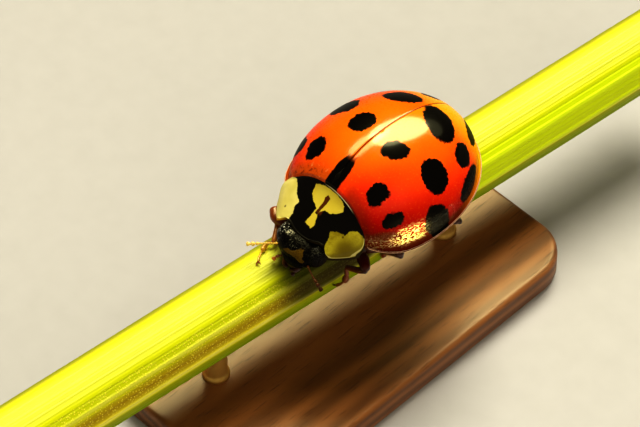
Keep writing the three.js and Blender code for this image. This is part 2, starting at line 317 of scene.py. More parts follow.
ROOM_LIGHT = (1.0, 0.88, 0.6, 1.0)
ROOM_DIM = 0.07
ROOM_BRIGHT = 0.16
ROOM_BRIGHT_SIDE = Vector((0.72, -0.6, 0.35)).normalized()
DIM_SIDE_FROM = -0.3
HORIZON_GLOW = 0.44
HORIZON_TOP = 0.06
HORIZON_FULL = 0.03
room = bpy.data.worlds.new("room")
room.use_nodes = True
backdrop = room.node_tree.nodes["Background"]
air = Tree(room.node_tree)
way_out = air.node("ShaderNodeTexCoord")
glow = air.node(
    "ShaderNodeMapRange",
    {"interpolation_type": "SMOOTHSTEP"},
    {
        "Value": vector_math("DOT_PRODUCT", way_out, ROOM_BRIGHT_SIDE, out=1),
        "From Min": DIM_SIDE_FROM, "To Min": ROOM_DIM, "To Max": ROOM_BRIGHT,
    },
)
horizon = air.node("ShaderNodeMapRange", sockets={
    "Value": parts(way_out)[2], "From Min": HORIZON_TOP, "From Max": HORIZON_FULL, "To Max": HORIZON_GLOW,
})
air.put(backdrop.inputs["Strength"], glow + horizon)
backdrop.inputs["Color"].default_value = ROOM_LIGHT
bpy.context.scene.world = room
bpy.context.scene.view_settings.view_transform = "Standard"
bpy.context.scene.view_settings.look = "High Contrast"
print("the room's strength:", ROOM_DIM, "to", ROOM_BRIGHT, "and at the horizon", HORIZON_GLOW, "more")

# %% [markdown]
# A wide, soft sun from above and behind gives most of the light, and a large box fills in from the
# beetle's left. Neither shows in reflections. Three more softboxes do nothing but shine: together their
# mirror images make the long pale patch along the seam of the wing cases, the most telling thing about how
# glossy they are. Where they stand follows from that patch, since light leaves a mirror at the angle at
# which it came. A small low one gives the glints on the flank. A light's power has to suit the scale:
# at this size a tenth of a watt is bright.

# %% The lights
def hang(name, lamp, direction, distance, long_way):
    """Hangs a lamp at a direction from the beetle; long_way is the direction of its longer side."""
    lamp_object = bpy.data.objects.new(name, lamp)
    bpy.context.collection.objects.link(lamp_object)
    back = Vector(direction).normalized()
    side = Vector(long_way)
    side = (side - back * side.dot(back)).normalized()
    axes = Matrix((side, back.cross(side), back)).transposed().to_4x4()
    lamp_object.matrix_world = Matrix.Translation(place_of(0, 0, 1) + back * distance * MM) @ axes
    lamp_object.visible_camera = False
    print(name, "hangs", distance, "mm away")
    return lamp_object


def softbox(name, direction, distance, long, short, long_way, power, colour, shape="ELLIPSE"):
    """A soft light; long and short are its size in millimetres and power is in watts."""
    lamp = bpy.data.lights.new(name, "AREA")
    lamp.shape = shape
    lamp.size = long * MM
    lamp.size_y = short * MM
    lamp.energy = power
    lamp.color = colour
    return hang(name, lamp, direction, distance, long_way)


SEAM_WAY = (0.25, 0.92, -0.31)
SEAM_COLOUR = (1.0, 0.96, 0.52)
NARROW_COLOUR = (1.0, 0.92, 0.44)
FLANK_COLOUR = (1.0, 0.86, 0.46)
FILL_COLOUR = (1.0, 0.95, 0.8)
SIDEWAYS = (1, 0, 0)
LENGTHWAYS = (0, 1, 0)
flank_light = softbox("flank_light", (8.9, -1.3, -4.76), 10.2, 1.8, 1.5, LENGTHWAYS, 0.0045, FLANK_COLOUR)
shine_lights = [
    softbox("seam_softbox_wide", (-26.2, 54.7, 70.1), 92.7, 82, 50, SEAM_WAY, 0.122, SEAM_COLOUR),
    softbox("seam_softbox_narrow", (-42.5, 15.0, 81.3), 93.0, 76, 20, SEAM_WAY, 0.033, NARROW_COLOUR),
    softbox("seam_softbox_end", (-6.9, 106.4, 55.1), 120.0, 36, 42, SEAM_WAY, 0.006, SEAM_COLOUR),
    flank_light,
]
for light in shine_lights:
    light.visible_diffuse = False

SUN_STRENGTH = 3.4
SUN_ANGLE = radians(34)
sun = bpy.data.lights.new("day_sun", "SUN")
sun.energy = SUN_STRENGTH
sun.angle = SUN_ANGLE
sun.color = FILL_COLOUR
fill_lights = [
    hang("day_sun", sun, (-0.24, 0.4, 0.88), 100, SIDEWAYS),
    softbox("side_fill", (0.75, -0.3, 0.58), 100, 90, 70, LENGTHWAYS, 0.032, FILL_COLOUR, "RECTANGLE"),
]
for light in fill_lights:
    light.visible_glossy = False

# %% [markdown]
# Most parts of an insect are either a skin that is laid over two directions, like the wing case, or a limb
# swept along a curve. So two helpers do nearly all the work. Each point can also carry up to three
# numbers of its own, such as how far along the leg it lies, and the finishes read them to place tints.

# %% Helpers that gather a shape
class Shape:
    """Points and faces of one piece, in the beetle's millimetres, and the notes of each point."""

    def __init__(self, rows=(), ring=True):
        """Joins rows, all of the same length, into a skin. A row is a list of x, y, z and up to three
        notes. A ring closes each row on itself."""
        self.points = [point[:3] for row in rows for point in row]
        self.notes = [(*point[3:], 0.0, 0.0, 0.0)[:3] for row in rows for point in row]
        self.faces = []
        across = len(rows[0]) if rows else 0
        for low in range(0, len(self.points) - across, across or 1):
            high = low + across
            for c in range(across if ring else across - 1):
                d = (c + 1) % across
                self.faces.append((low + c, low + d, high + d, high + c))

    def add(self, other):
        start = len(self.points)
        self.points += other.points
        self.notes += other.notes
        self.faces += [tuple(start + i for i in face) for face in other.faces]
        return self


# %% Making a piece of a shape
# Points closer than this, in millimetres, become one.
MERGE = 0.0005


def build(name, shape, finish, nodes, closed=True, origin=BEETLE):
    """Makes the piece, lets it ride with the model and stand in for its nodes."""
    mesh = bpy.data.meshes.new(name)
    mesh.from_pydata([origin + Vector(p) * MM for p in shape.points], [], shape.faces)
    notes = mesh.attributes.new("notes", "FLOAT_VECTOR", "POINT")
    notes.data.foreach_set("vector", [n for note in shape.notes for n in note])
    loose = bmesh.new()
    loose.from_mesh(mesh)
    bmesh.ops.remove_doubles(loose, verts=loose.verts, dist=MERGE * MM)
    bmesh.ops.dissolve_degenerate(loose, edges=loose.edges, dist=MERGE * MM)
    if closed:
        bmesh.ops.recalc_face_normals(loose, faces=loose.faces)
    loose.to_mesh(mesh)
    loose.free()
    mesh.shade_smooth()
    mesh.materials.append(finish.material)
    piece = bpy.data.objects.new(name, mesh)
    bpy.context.collection.objects.link(piece)
    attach(piece, "root")
    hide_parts(*nodes)
    print(name, "has", len(mesh.polygons), "faces")
    return piece


# %% Helpers for curves
def along_curve(knots, count):
    """Points on a smooth curve through the knots, evenly shared between them."""
    knots = [Vector(k) for k in knots]
    ends = [knots[0] * 2 - knots[1], *knots, knots[-1] * 2 - knots[-2]]
    points = []
    for i in range(count):
        t = i / (count - 1) * (len(knots) - 1)
        k = min(int(t), len(knots) - 2)
        t -= k
        a, b, c, d = ends[k: k + 4]
        bend = (2 * a - 5 * b + 4 * c - d) * t ** 2 + (3 * b - a - 3 * c + d) * t ** 3
        points.append(0.5 * (2 * b + (c - a) * t + bend))
    return points


def between(values, share):
    """Reads a short list of values at a share from 0 to 1 of its length."""
    at = max(0.0, min(1.0, share)) * (len(values) - 1)
    low = min(int(at), len(values) - 2)
    return values[low] + (values[low + 1] - values[low]) * (at - low)


# %% Helpers that lay rings of points
def loop_of(middle, first, second, count, note=0.0):
    """Points of a closed loop round a middle, from first towards second, with one note."""
    angles = [i / count * tau for i in range(count)]
    return [(*(middle + first * cos(a) + second * sin(a)), note) for a in angles]


def sweep(knots, radius, steps, sides, flat=1.0, up=(0, 0, 1), span=(0.0, 1.0)):
    """A limb along a curve. radius(share) gives its half-thickness; flat squeezes it along up.
    Its points note how far along they lie, from the first to the second number of span."""
    path = along_curve(knots, steps)
    rows = [[(*path[0], span[0])] * sides]
    for i, middle in enumerate(path):
        tangent = (path[min(i + 1, steps - 1)] - path[max(i - 1, 0)]).normalized()
        side = tangent.cross(Vector(up)).normalized()
        share = i / (steps - 1)
        thick = radius(share)
        lift = side.cross(tangent) * thick * flat
        rows.append(loop_of(middle, side * thick, lift, sides, between(span, share)))
    rows.append([(*path[-1], span[1])] * sides)
    return Shape(rows)


def rounded(values, ends=0.12):
    """A radius that follows a list of values and closes roundly at both ends."""
    def radius(share):
        near = min(1.0, min(share, 1 - share) / ends)
        return between(values, share) * max(sqrt(1 - (1 - near) ** 2), 0.02)
    return radius


def egg(centre, radii, tilt=0.0, across=32, up=20, grow=None):
    """An ellipsoid tipped forward by tilt. grow(direction) may swell or pinch it."""
    rows = []
    turn = Matrix.Rotation(tilt, 3, "X")
    for r in range(up + 1):
        rise = pi * (r / up - 0.5)
        level = cos(rise)
        row = []
        for c in range(across):
            angle = c / across * tau
            way = Vector((level * cos(angle), level * sin(angle), sin(rise)))
            size = grow(way) if grow else 1.0
            row.append((*(Vector(centre) + turn @ (way * Vector(radii) * size)), r / up))
        rows.append(row)
    return Shape(rows)


HAIR_TIP = 0.0004
LEANING = Vector((0.31, 0.17, 0.93))


def bristle(root, way, long, thick, droop):
    """One fine tapering hair that bends a little downwards."""
    way = way.normalized()
    side = way.cross(LEANING).normalized()
    rows = []
    for share in (0.0, 0.45, 1.0):
        middle = root + way * long * share - Vector((0, 0, droop * long * share ** 2))
        width = thick * (1 - share) + HAIR_TIP
        rows.append(loop_of(middle, side * width, side.cross(way) * width, 3, 1.0))
    return Shape(rows)


def off_limb(tangent, angle):
    """A direction square to a limb, at an angle round it."""
    out = tangent.orthogonal().normalized()
    out.rotate(Matrix.Rotation(angle, 3, tangent))
    return out


# %% [markdown]
# ## The wing cases
# Two hard wing cases meet along a seam. Each is one skin, laid in rays that start at the top of the dome
# and run down to the rim, so it has no seam of its own where light would break. Near the edge the dome
# flows into a shallow gutter and then a raised bead, which carries a fine pale line painted on as the
# bright highlight along the beetle's outline. In front, each ray stops at the bowed edge where the neck
# shield begins.

# %% The line from the top of a wing case to its rim
DOME_FOOT = 0.24
GUTTER = [
    (0.978, 0.125), (0.984, 0.112), (0.989, 0.116), (0.994, 0.132), (0.998, 0.134), (1.0, 0.118), (1.0, 0.1),
]
FOLD = [(0.988, 0.082), (0.94, 0.085)]
DOME_STEPS = 44
WAIST_STEPS = 8


def rib_line(turn):
    """Share of the plan and height, from the top to the rim, for the ray at this turn from the front."""
    pinch = exp(-((degrees(turn) - 62) / 34) ** 2)
    reach = 0.966 - 0.012 * pinch
    line = []
    for i in range(DOME_STEPS):
        angle = radians(90 - 82 * (i / (DOME_STEPS - 1)) ** 0.92)
        line.append((reach * cos(angle), DOME_FOOT + (HEIGHT - DOME_FOOT) * sin(angle)))
    start = line[-1]
    pulls = [start, (reach, start[1] - 0.2), (reach + 0.002, 0.15), GUTTER[0]]
    for i in range(1, WAIST_STEPS):
        t = i / WAIST_STEPS
        weights = [(1 - t) ** 3, 3 * t * (1 - t) ** 2, 3 * t * t * (1 - t), t ** 3]
        line.append(tuple(sum(w * p[k] for w, p in zip(weights, pulls)) for k in range(2)))
    return line + GUTTER


def plan(turn):
    """The outline of both wing cases: turn is 0 in front, half a circle at the tail."""
    across = sin(turn)
    ahead = cos(turn)
    if ahead <= 0:
        return HALF_WIDTH * across, -REAR * ahead
    square = (across ** SQUARENESS + ahead ** SQUARENESS) ** (-1 / SQUARENESS)
    return HALF_WIDTH * square * across, -FRONT * square * ahead


def lifted(forward, z):
    """The height z, raised a little towards the shoulders."""
    return z + SHOULDER_LIFT * max(0.0, forward - 1.2) ** 2 * (1 - z / HEIGHT)


def neck_line(x):
    return NECK_Y + SEAM / 2 - NECK_BOW * x * x


# %% The skin of a wing case
def ray(turn):
    """Points of a wing case along one ray, each with its share of the plan, cut at the neck."""
    x, y = plan(turn)
    whole = [(x * s, y * s, lifted(-y * s, z), s) for s, z in rib_line(turn)]
    cut = len(whole) - 1.0
    for i in range(1, len(whole)):
        before = whole[i - 1][1] - neck_line(whole[i - 1][0])
        after = whole[i][1] - neck_line(whole[i][0])
        if before > 0 >= after:
            cut = i - 1 + before / (before - after)
            break
    kept = []
    for i in range(len(whole)):
        at = i / (len(whole) - 1) * cut
        low = min(int(at), len(whole) - 2)
        kept.append(tuple(a + (b - a) * (at - low) for a, b in zip(whole[low], whole[low + 1])))
    if cut < len(whole) - 1:
        end = kept[-1]
        kept += [(end[0], end[1] - 0.012, end[2] - down, 0.9) for down in (0.035, 0.12)]
    else:
        kept += [(x * s, y * s, lifted(-y * s, z), 1.05) for s, z in FOLD]
    return kept


RAYS = 132


def wing_case(side):
    """One wing case: side is 1 for the beetle's left and -1 for its right."""
    rows = []
    for r in range(RAYS + 1):
        row = []
        for x, y, z, share in ray(pi * r / RAYS):
            out = SEAM / 2 + x * (1 - SEAM / 2 / HALF_WIDTH)
            seam_dip = 0.005 * exp(-(x / 0.025) ** 2)
            shoulder = 0.05 * exp(-((x - 1.72) ** 2 + (y + 1.35) ** 2) / 0.16)
            rise = z - seam_dip + shoulder * (1 - share ** 8)
            row.append((side * out, y, rise, x, share, y - neck_line(x)))
        rows.append(row)
    return Shape(rows[::side], ring=False)


# %% [markdown]
# The markings are black spots on orange, nine on each wing case and one that both share behind the neck.
# Drawn from above, an oval would stretch down the flanks, so each spot gets a frame of its own that lies
# flat on the shell: its Mapping node turns the spot into a circle, and the length of the mapped place
# tells whether a point is inside. The smallest such number over all the spots gives the marking in one go.

# %% Where the spots are
# Each spot: its place, its longer and shorter half, and its turn in degrees from across to along.
SPOTS_LEFT = {
    "first_inner": ((0.74, -0.17), 0.42, 0.29, 55),
    "shoulder": ((1.22, -1.38), 0.38, 0.28, 90),
    "shoulder_side": ((1.84, -1.38), 0.34, 0.22, 56),
    "middle": ((1.8, 0.3), 0.51, 0.44, 172),
    "flank": ((2.39, -0.14, 0.5), 0.62, 0.43, 175),
    "rear_inner": ((0.7, 1.63), 0.7, 0.47, 154),
    "rear_middle": ((1.64, 1.59), 0.38, 0.33, 130),
    "rear_flank": ((2.08, 1.42, 0.6), 0.62, 0.36, 165),
    "tail": ((1.02, 2.58, 0.95), 0.54, 0.27, 150),
}
SPOTS_RIGHT = {
    **SPOTS_LEFT,
    "first_inner": ((0.67, -0.08), 0.43, 0.38, 79),
    "shoulder": ((1.2, -1.38), 0.4, 0.33, 90),
    "middle": ((1.74, 0.3), 0.51, 0.44, 172),
    "shoulder_side": ((1.92, -1.28), 0.42, 0.31, 150),
    "rear_inner": ((0.7, 1.58), 0.58, 0.38, 145),
    "tail": ((0.48, 2.45, 1.38), 0.29, 0.23, 150),
}


def half_plan(y):
    """How far the plan reaches in front or behind, and how square it is there."""
    return (FRONT, SQUARENESS) if y < 0 else (REAR, 2.0)


def dome_height(x, y):
    length, power = half_plan(y)
    share = ((abs(x) / HALF_WIDTH) ** power + (abs(y) / length) ** power) ** (1 / power)
    rise = sqrt(max(0.0, 1 - (share / 0.953) ** 2))
    return lifted(-y, DOME_FOOT + (HEIGHT - DOME_FOOT) * rise)


def dome_normal(x, y, z):
    length = half_plan(y)[0]
    up = (z - DOME_FOOT) / (HEIGHT - DOME_FOOT) ** 2
    return Vector((x / HALF_WIDTH ** 2, y / length ** 2, up)).normalized()


def spot_frame(spot, side):
    """Where a spot's Mapping node goes: its centre, its turn as angles, and its halves."""
    place, long, short, turned = spot
    x, y = place[0], place[1]
    z = place[2] if len(place) > 2 else dome_height(x, y)
    up = dome_normal(x, y, z)
    across = (Vector((1, 0, 0)) - up * up.x).normalized()
    along = up.cross(across)
    angle = radians(turned)
    first = across * cos(angle) + along * sin(angle)
    second = across * -sin(angle) + along * cos(angle)
    if side < 0:
        x = -x
        first.x, second.x, up.x = -first.x, -second.x, -up.x
        second = -second
    turn = Matrix((first, second, up)).transposed().to_euler()
    return (x, y, z), tuple(turn), (long, short, max(long, short))


print("spots on the whole back:", len(SPOTS_LEFT) + len(SPOTS_RIGHT) + 1)

# %% [markdown]
# The colour of a wing case runs from deep red low on the front flank through orange to amber over the
# tail. It is partly the stain of a slightly clear shell over pale wings and partly painted light: painted
# shade darkens the flanks, most on the left case, and a painted amber sheen lies over the tail. The edges
# of the spots are finely toothed, since the pigment fills one tiny cell after another: a Voronoi texture
# gives each point the middle of its cell, and the spots are tested there. A hard clear coat makes the long
# bright reflection.

# %% The masks of the black spots
CELLS_PER_MM = 12.5
TOOTHED = 0.62
LOBES_PER_MM = 2.6
LOBE_SHIFT = 0.07
SPOT_EDGE = 0.018


def spot_mask(place, spots, side):
    """1 inside the spots and 0 outside."""
    cell = place.finish.node("ShaderNodeTexVoronoi", sockets={"Vector": place, "Scale": CELLS_PER_MM}, out=2)
    sockets = {0: TOOTHED, 4: place, 5: cell}
    toothed = place.finish.node("ShaderNodeMix", {"data_type": "VECTOR"}, sockets, out=1)
    sockets = {"Vector": place, "Scale": LOBES_PER_MM, "Detail": 1.0}
    cloudy = place.finish.node("ShaderNodeTexNoise", sockets=sockets, out=1)
    lobes = vector_math("MULTIPLY_ADD", cloudy, (2 * LOBE_SHIFT,) * 3, toothed)
    lobes = vector_math("SUBTRACT", lobes, (LOBE_SHIFT,) * 3)
    nearest = None
    for spot in spots.values():
        centre, turn, halves = spot_frame(spot, side)
        local = place.finish.node(
            "ShaderNodeMapping",
            {"vector_type": "TEXTURE"},
            {"Vector": lobes, "Location": centre, "Rotation": turn, "Scale": halves},
        )
        distance = (vector_math("LENGTH", local, out=1) - 1.0) * halves[1]
        nearest = nearest.least(distance) if nearest else distance
    return step(nearest, SPOT_EDGE, -SPOT_EDGE)


def neck_spot_mask(place):
    """The spot that both wing cases share: a tongue behind the neck that fades at its end."""
    x, y, _ = parts(place)
    rough = mottle(place, 9.0) - 0.5
    half = 0.24 - 0.1 * step(y, -1.5, -1.05) - 0.02 * step(y, -1.8, -2.15)
    wide = step(without_sign(x) + rough * 0.07, half + 0.02, half - 0.02)
    return wide * step(y + rough * 0.1, -0.98, -1.26)


# %% The finish of the wing cases
SHELL_TINTS = [
    (0.2, (130, 9, 2)), (0.35, (190, 22, 2)), (0.48, (228, 48, 2)), (0.58, (243, 76, 2)),
    (0.66, (248, 100, 2)), (0.75, (250, 118, 2)), (0.85, (252, 136, 3)),
]
BLACK = (4, 3, 3)
WORN_BLACK = (14, 9, 6)


def wing_finish(name, spots, side):
    finish = Finish(name)
    place = where(finish)
    across, along, height = parts(place)
    seam_distance, share, neck_distance = written(finish)
    cloud = mottle(place, 1.1, 3.0)
    fleck = mottle(place, 16.0, 3.0)

    # The shell's colour follows its height and has fine pale flecks; its darkening low on the flanks is
    # partly painted shade. On the left case painted shade also darkens it away from the seam, and it is
    # painted lighter towards the tail.
    if side > 0:
        tone_and_shade = height * 0.237 + along * 0.072 + 0.165 + step(across, 1.1, 0.3) * 0.09
    else:
        tone_and_shade = height * 0.237 - along * 0.005 + 0.214
    shell = ramp_tint(tone_and_shade + (cloud - 0.5) * 0.1, SHELL_TINTS)
    shell = blend(shell, (255, 150, 30), step(fleck, 0.56, 0.8) * 0.22)

    # The margin is brown, and so is the edge behind the shield, which is dappled on the right.
    margin_top = 0.28 + 0.56 * step(along, -0.4, -1.7) + 0.26 * step(along, 0.8, 2.0)
    margin = step(height + (cloud - 0.5) * 0.12, margin_top + 0.12, margin_top - 0.1) * 0.92
    ragged = neck_distance + (fleck - 0.5) * 0.12
    if side > 0:
        front_edge = step(ragged, 0.46, 0.02) * step(seam_distance, 0.35, 0.7)
        margin_tint = blend((104, 38, 6), (200, 116, 18), step(along, 0.6, 1.8))
        shell = blend(shell, margin_tint, margin.most(front_edge * 0.55))
    else:
        dapple = mottle(place, 7.0, 3.0, 0.6)
        dappled = step(ragged, 0.42, 0.05) * 0.8
        shell = blend(shell, (190, 86, 16), margin.most(dappled))
        shell = blend(shell, (226, 150, 84), dappled * step(dapple, 0.56, 0.7))
        shell = blend(shell, (118, 40, 8), dappled * step(dapple, 0.44, 0.32))
    # Over the tail an amber tint is painted in as the warm sheen of the rear edge.
    shell = blend(shell, (238, 178, 8), step(along, 1.6, 2.6) * 0.78)

    # The raised bead is dark with a pale line painted on it as a highlight, and the seam is dark too.
    bead = band(share, 0.9925, 0.995, 1.005, 1.02)
    shell = blend(shell, (96, 22, 6), bead)
    shell = blend(shell, (255, 216, 178), band(share, 0.9925, 0.995, 0.997, 0.9985))
    shell = blend(shell, (104, 40, 6), step(seam_distance, 0.018, 0.008) * 0.8)
    black = spot_mask(place, spots, side).most(neck_spot_mask(place)) * (1 - bead)
    colour = blend(shell, blend(BLACK, WORN_BLACK, fleck), black)

    # Low at the shoulder pale gold specks are painted on as the glints of a crinkled shell; they are partly
    # metallic too.
    glint_top = 0.72 + 0.26 * step(along, -1.75, -1.15)
    glint_zone = step(height, glint_top, glint_top - 0.22) * step(height, 0.24, 0.36)
    glint_zone = glint_zone * step(along, -0.3, -0.75) * (0.25 + 0.75 * step(along, -1.75, -1.2))
    glint_pattern = mottle(where(finish, (1.0, 0.6, 1.5)), 17.0, 2.0, 0.7)
    painted_glint = step(glint_pattern + (cloud - 0.5) * 0.16, 0.47, 0.63) * glint_zone

    # The flank has deeper pits, and the clear coat thins out where the shell turns down or away.
    flank = step(height, 1.05, 0.45)
    facing = finish.node("ShaderNodeLayerWeight", sockets={"Blend": 0.5}, out=1)
    relief = (pits(place, 17.0, 0.3) * 0.3 + mottle(place, 15.0, 3.0, 0.6)) * (0.05 + flank * 0.95)
    finish.wear(
        Base_Color=blend(colour, (255, 226, 146), painted_glint * (0.95 - black * 0.65)),
        Metallic=painted_glint * 0.4,
        Roughness=0.28 + black * 0.1 - flank * 0.12 + (fleck - 0.5) * 0.08,
        Normal=dent(relief, 0.06),
        Coat_Weight=(1.0 - black * 0.55) * (1.0 - step(facing, 0.2, 0.62) * 0.96) * step(height, 1.15, 1.6),
        Coat_Roughness=0.12,
        Specular_IOR_Level=0.03,
    )
    return finish


left_finish = wing_finish("shell_left", SPOTS_LEFT, 1)
right_finish = wing_finish("shell_right", SPOTS_RIGHT, -1)

# %% The two wing cases
WALL = 0.045
SOFT_EDGE = 0.008


def thicken(piece, wall, edge):
    """Gives a skin its wall, inwards, and breaks its sharp edges, both in millimetres."""
    shell = piece.modifiers.new("wall", "SOLIDIFY")
    shell.thickness = wall * MM
    shell.offset = -1
    rounding = piece.modifiers.new("soft_edge", "BEVEL")
    rounding.width = edge * MM
    rounding.segments = 2
    rounding.limit_method = "ANGLE"
    rounding.angle_limit = radians(50)


wing_cases = {}
for side_name, side, finish in (("left", 1, left_finish), ("right", -1, right_finish)):
    node = f"elytron_{side_name}"
    wing = build(f"wing_case_{side_name}", wing_case(side), finish, [node], closed=False)
    thicken(wing, WALL, SOFT_EDGE)
    wing_cases[side_name] = wing

# %% [markdown]
# The low light is there only for the glints on the wing cases. Light linking keeps it off everything else,
# so the stem below stays in the beetle's soft shadow.

# %% Keep the low light on the wing cases
glint_group = bpy.data.collections.new("wing_cases_only")
for wing in wing_cases.values():
    glint_group.objects.link(wing)
flank_light.light_linking.receiver_collection = glint_group

# %% [markdown]
# The scutellum is a tiny black triangle between the front ends of the wing cases. It is easy to leave
# out, but a model without it looks wrong to anyone who knows beetles. It is laid just above the wing cases
# and follows their dome.

# %% The scutellum
SCUTELLUM_HALF = 0.28
SCUTELLUM_LONG = 0.52
SCUTELLUM_STEPS = 18


def scutellum_shape():
    rows = []
    for i in range(SCUTELLUM_STEPS + 1):
        share = i / SCUTELLUM_STEPS
        half = SCUTELLUM_HALF * (1 - share ** 1.3) + 0.004
        y = NECK_Y + SEAM + SCUTELLUM_LONG * share
        row = []
        for across in [k / 8 for k in range(-8, 9)]:
            x = half * across
            crown = 0.03 * (1 - across ** 4) * (1 - share ** 4)
            row.append((x, y, dome_height(x, y) - 0.012 + crown))
        rows.append(row)
    return Shape(rows, ring=False)


plate_black = Finish("plate_black")
plate_place = where(plate_black)
plate_grain = mottle(plate_place, 20.0, 3.0)
plate_black.wear(
    Base_Color=blend(BLACK, WORN_BLACK, plate_grain),
    Roughness=0.34 + plate_grain * 0.12,
    Specular_IOR_Level=0.2,
    Normal=dent(pits(plate_place, 16.0, 0.35), 0.004),
    Coat_Weight=0.12,
    Coat_Roughness=0.14,
)
shape = scutellum_shape()
scutellum = build("scutellum_plate", shape, plate_black, ["scutellum"], closed=False)
thicken(scutellum, 0.05, 0.006)

# %% [markdown]
# ## The neck shield
# The pronotum is the shield between the wing cases and the head, a thin arched plate with a hollow in its
# front edge for the head. Every point of its outline can be seen from one point inside, so the plate is
# laid in rings between that point and the outline. The rim is a fine raised bead.

# %% The shape of the neck shield
SHIELD_MIDDLE = -2.52
SHIELD_REAR_TOP = 1.42
SHIELD_FALL = 0.86
SHIELD_FOOT = 0.26
SHIELD_PLAN = [
    (0.0, -1.945), (0.9, -2.01), (1.44, -2.14), (1.61, -2.31), (1.53, -2.53),
    (1.34, -2.8), (1.08, -3.07), (0.93, -3.12), (0.76, -3.03), (0.58, -3.04), (0.3, -3.13), (0.0, -3.16),
]


def shield_top(x, y):
    half = 1.66 - 0.84 * max(0.0, -2.3 - y) ** 1.2
    bow = max(0.0, 1 - abs(x / half) ** 2.2) ** 0.4
    ridge = SHIELD_REAR_TOP - SHIELD_FALL * (NECK_Y - y) + 0.07 * exp(-((y + 1.95) / 0.14) ** 2)
    return SHIELD_FOOT + (ridge - SHIELD_FOOT) * bow


LOOP_STEPS = 16


def shield_loop(count):
    """The outline as one loop of points. It runs past its own start at both ends, to stay smooth there."""
    loop = SHIELD_PLAN + [(-x, y) for x, y in SHIELD_PLAN[-2:0:-1]]
    wrapped = [(*loop[i % len(loop)], 0.0) for i in range(-2, len(loop) + 3)]
    whole = along_curve(wrapped, LOOP_STEPS * (len(wrapped) - 1) + 1)
    whole = whole[2 * LOOP_STEPS: (2 + len(loop)) * LOOP_STEPS]
    return [whole[round(i * len(whole) / count) % len(whole)] for i in range(count)]


# %% [markdown]
# The shield's markings are two pale patches at its sides and a small pale figure in its middle, on
# black. Their outlines are irregular, so each is a short list of corners, and every point of the mesh
# notes its distance to the nearest outline, plus inside and minus outside. Such a distance changes evenly,
# so it stays sharp between points, and the finish can still give it a toothed edge with noise.

# %% Where the pale patches are
PATCH_LEFT = [
    (0.67, -2.68), (0.83, -2.59), (1.08, -2.52), (1.15, -2.35), (1.34, -2.22),
    (1.7, -2.15), (1.7, -2.8), (1.2, -3.3), (0.86, -3.16), (0.76, -3.0), (0.74, -2.85),
]
PATCH_RIGHT = [
    (-1.22, -2.12), (-1.01, -2.29), (-0.88, -2.45), (-0.66, -2.58), (-0.71, -2.7), (-0.62, -2.86),
    (-0.66, -3.12), (-1.2, -3.3), (-1.7, -2.8), (-1.7, -2.15),
]
FIGURE = [
    (-0.5, -2.07), (-0.26, -2.01), (0.09, -2.0), (0.42, -2.02), (0.62, -2.08), (0.68, -2.19), (0.56, -2.31),
    (0.38, -2.4), (0.17, -2.42), (0.06, -2.55), (0.17, -2.8), (0.12, -2.9), (-0.15, -2.88),
    (-0.1, -2.67), (-0.08, -2.48), (-0.32, -2.38), (-0.45, -2.27),
]
STREAK = [
    (-0.02, -2.17), (0.05, -2.11), (0.14, -2.15), (0.12, -2.3), (0.08, -2.43),
    (0.04, -2.58), (-0.03, -2.58), (-0.01, -2.42), (0.01, -2.29),
]


def inside_by(x, y, corners):
    """Distance to an outline, plus inside it and minus outside."""
    nearest = 1e9
    inside = False
    for (ax, ay), (bx, by) in zip(corners, corners[1:] + corners[:1]):
        dx = bx - ax
        dy = by - ay
        t = max(0.0, min(1.0, ((x - ax) * dx + (y - ay) * dy) / (dx * dx + dy * dy)))
        nearest = min(nearest, hypot(x - ax - t * dx, y - ay - t * dy))
        if (ay > y) != (by > y) and x < ax + (y - ay) / dy * dx:
            inside = not inside
    return nearest if inside else -nearest


# %% The skin of the neck shield
SHIELD_POINTS = 240
SHIELD_RINGS = 44


def shield_shape():
    loop = shield_loop(SHIELD_POINTS)
    rows = []
    for r in range(SHIELD_RINGS + 1):
        share = 1 - (1 - r / SHIELD_RINGS) ** 1.25
        bead = 0.01 * exp(-((share - 0.98) / 0.012) ** 2)
        roll = -0.05 * max(0.0, (share - 0.985) / 0.015) ** 2
        row = []
        for edge in loop:
            x = edge.x * share
            y = SHIELD_MIDDLE + (edge.y - SHIELD_MIDDLE) * share
            gutter = -0.018 * abs(edge.x) / 1.6 * exp(-((share - 0.92) / 0.04) ** 2)
            pale = max(inside_by(x, y, PATCH_LEFT), inside_by(x, y, PATCH_RIGHT))
            figure = min(inside_by(x, y, FIGURE), -inside_by(x, y, STREAK))
            row.append((x, y, shield_top(x, y) + bead + gutter + roll, pale, figure, share))
        rows.append(row)
    for r in range(6):
        row = []
        for edge in loop:
            share = 1 - 0.22 * r
            y = SHIELD_MIDDLE + (edge.y - SHIELD_MIDDLE) * share
            low = shield_top(edge.x * share, y) - 0.08 - 0.06 * r
            share = max(share, 0.02)
            y = SHIELD_MIDDLE + (edge.y - SHIELD_MIDDLE) * share
            row.append((edge.x * share, y, low, -1.0, -1.0, 1.0))
        rows.append(row)
    return Shape(rows)


# %% The finish of the neck shield
shield_paint = Finish("neck_shield")
place = where(shield_paint)
x, y, _ = parts(place)
pale, figure, share = written(shield_paint)
cloud = mottle(place, 2.2, 3.0)
fine = mottle(place, 22.0, 2.0)
tooth = (mottle(place, 13.0, 3.0, 0.7) - 0.5) * 0.09
side_patch = step(pale + tooth, -0.006, 0.01)
leftwards = step(x, -0.2, 0.4)

# The right patch is cream. The left one, turned from the light, is painted olive as shade, and darker still
# towards its low outer end.
cream = blend((246, 234, 146), (206, 190, 78), cloud)
shaded_olive = blend((182, 170, 46), (132, 116, 16), step(cloud + fine * 0.2, 0.38, 0.8))
shaded = step(away_from(place, (1.27, -2.7, 0.5)) + (cloud - 0.5) * 0.3, 0.44, 0.08)
shaded_olive = blend(shaded_olive, (106, 88, 5), shaded * 0.85)
side_tint = blend(cream, shaded_olive, leftwards)
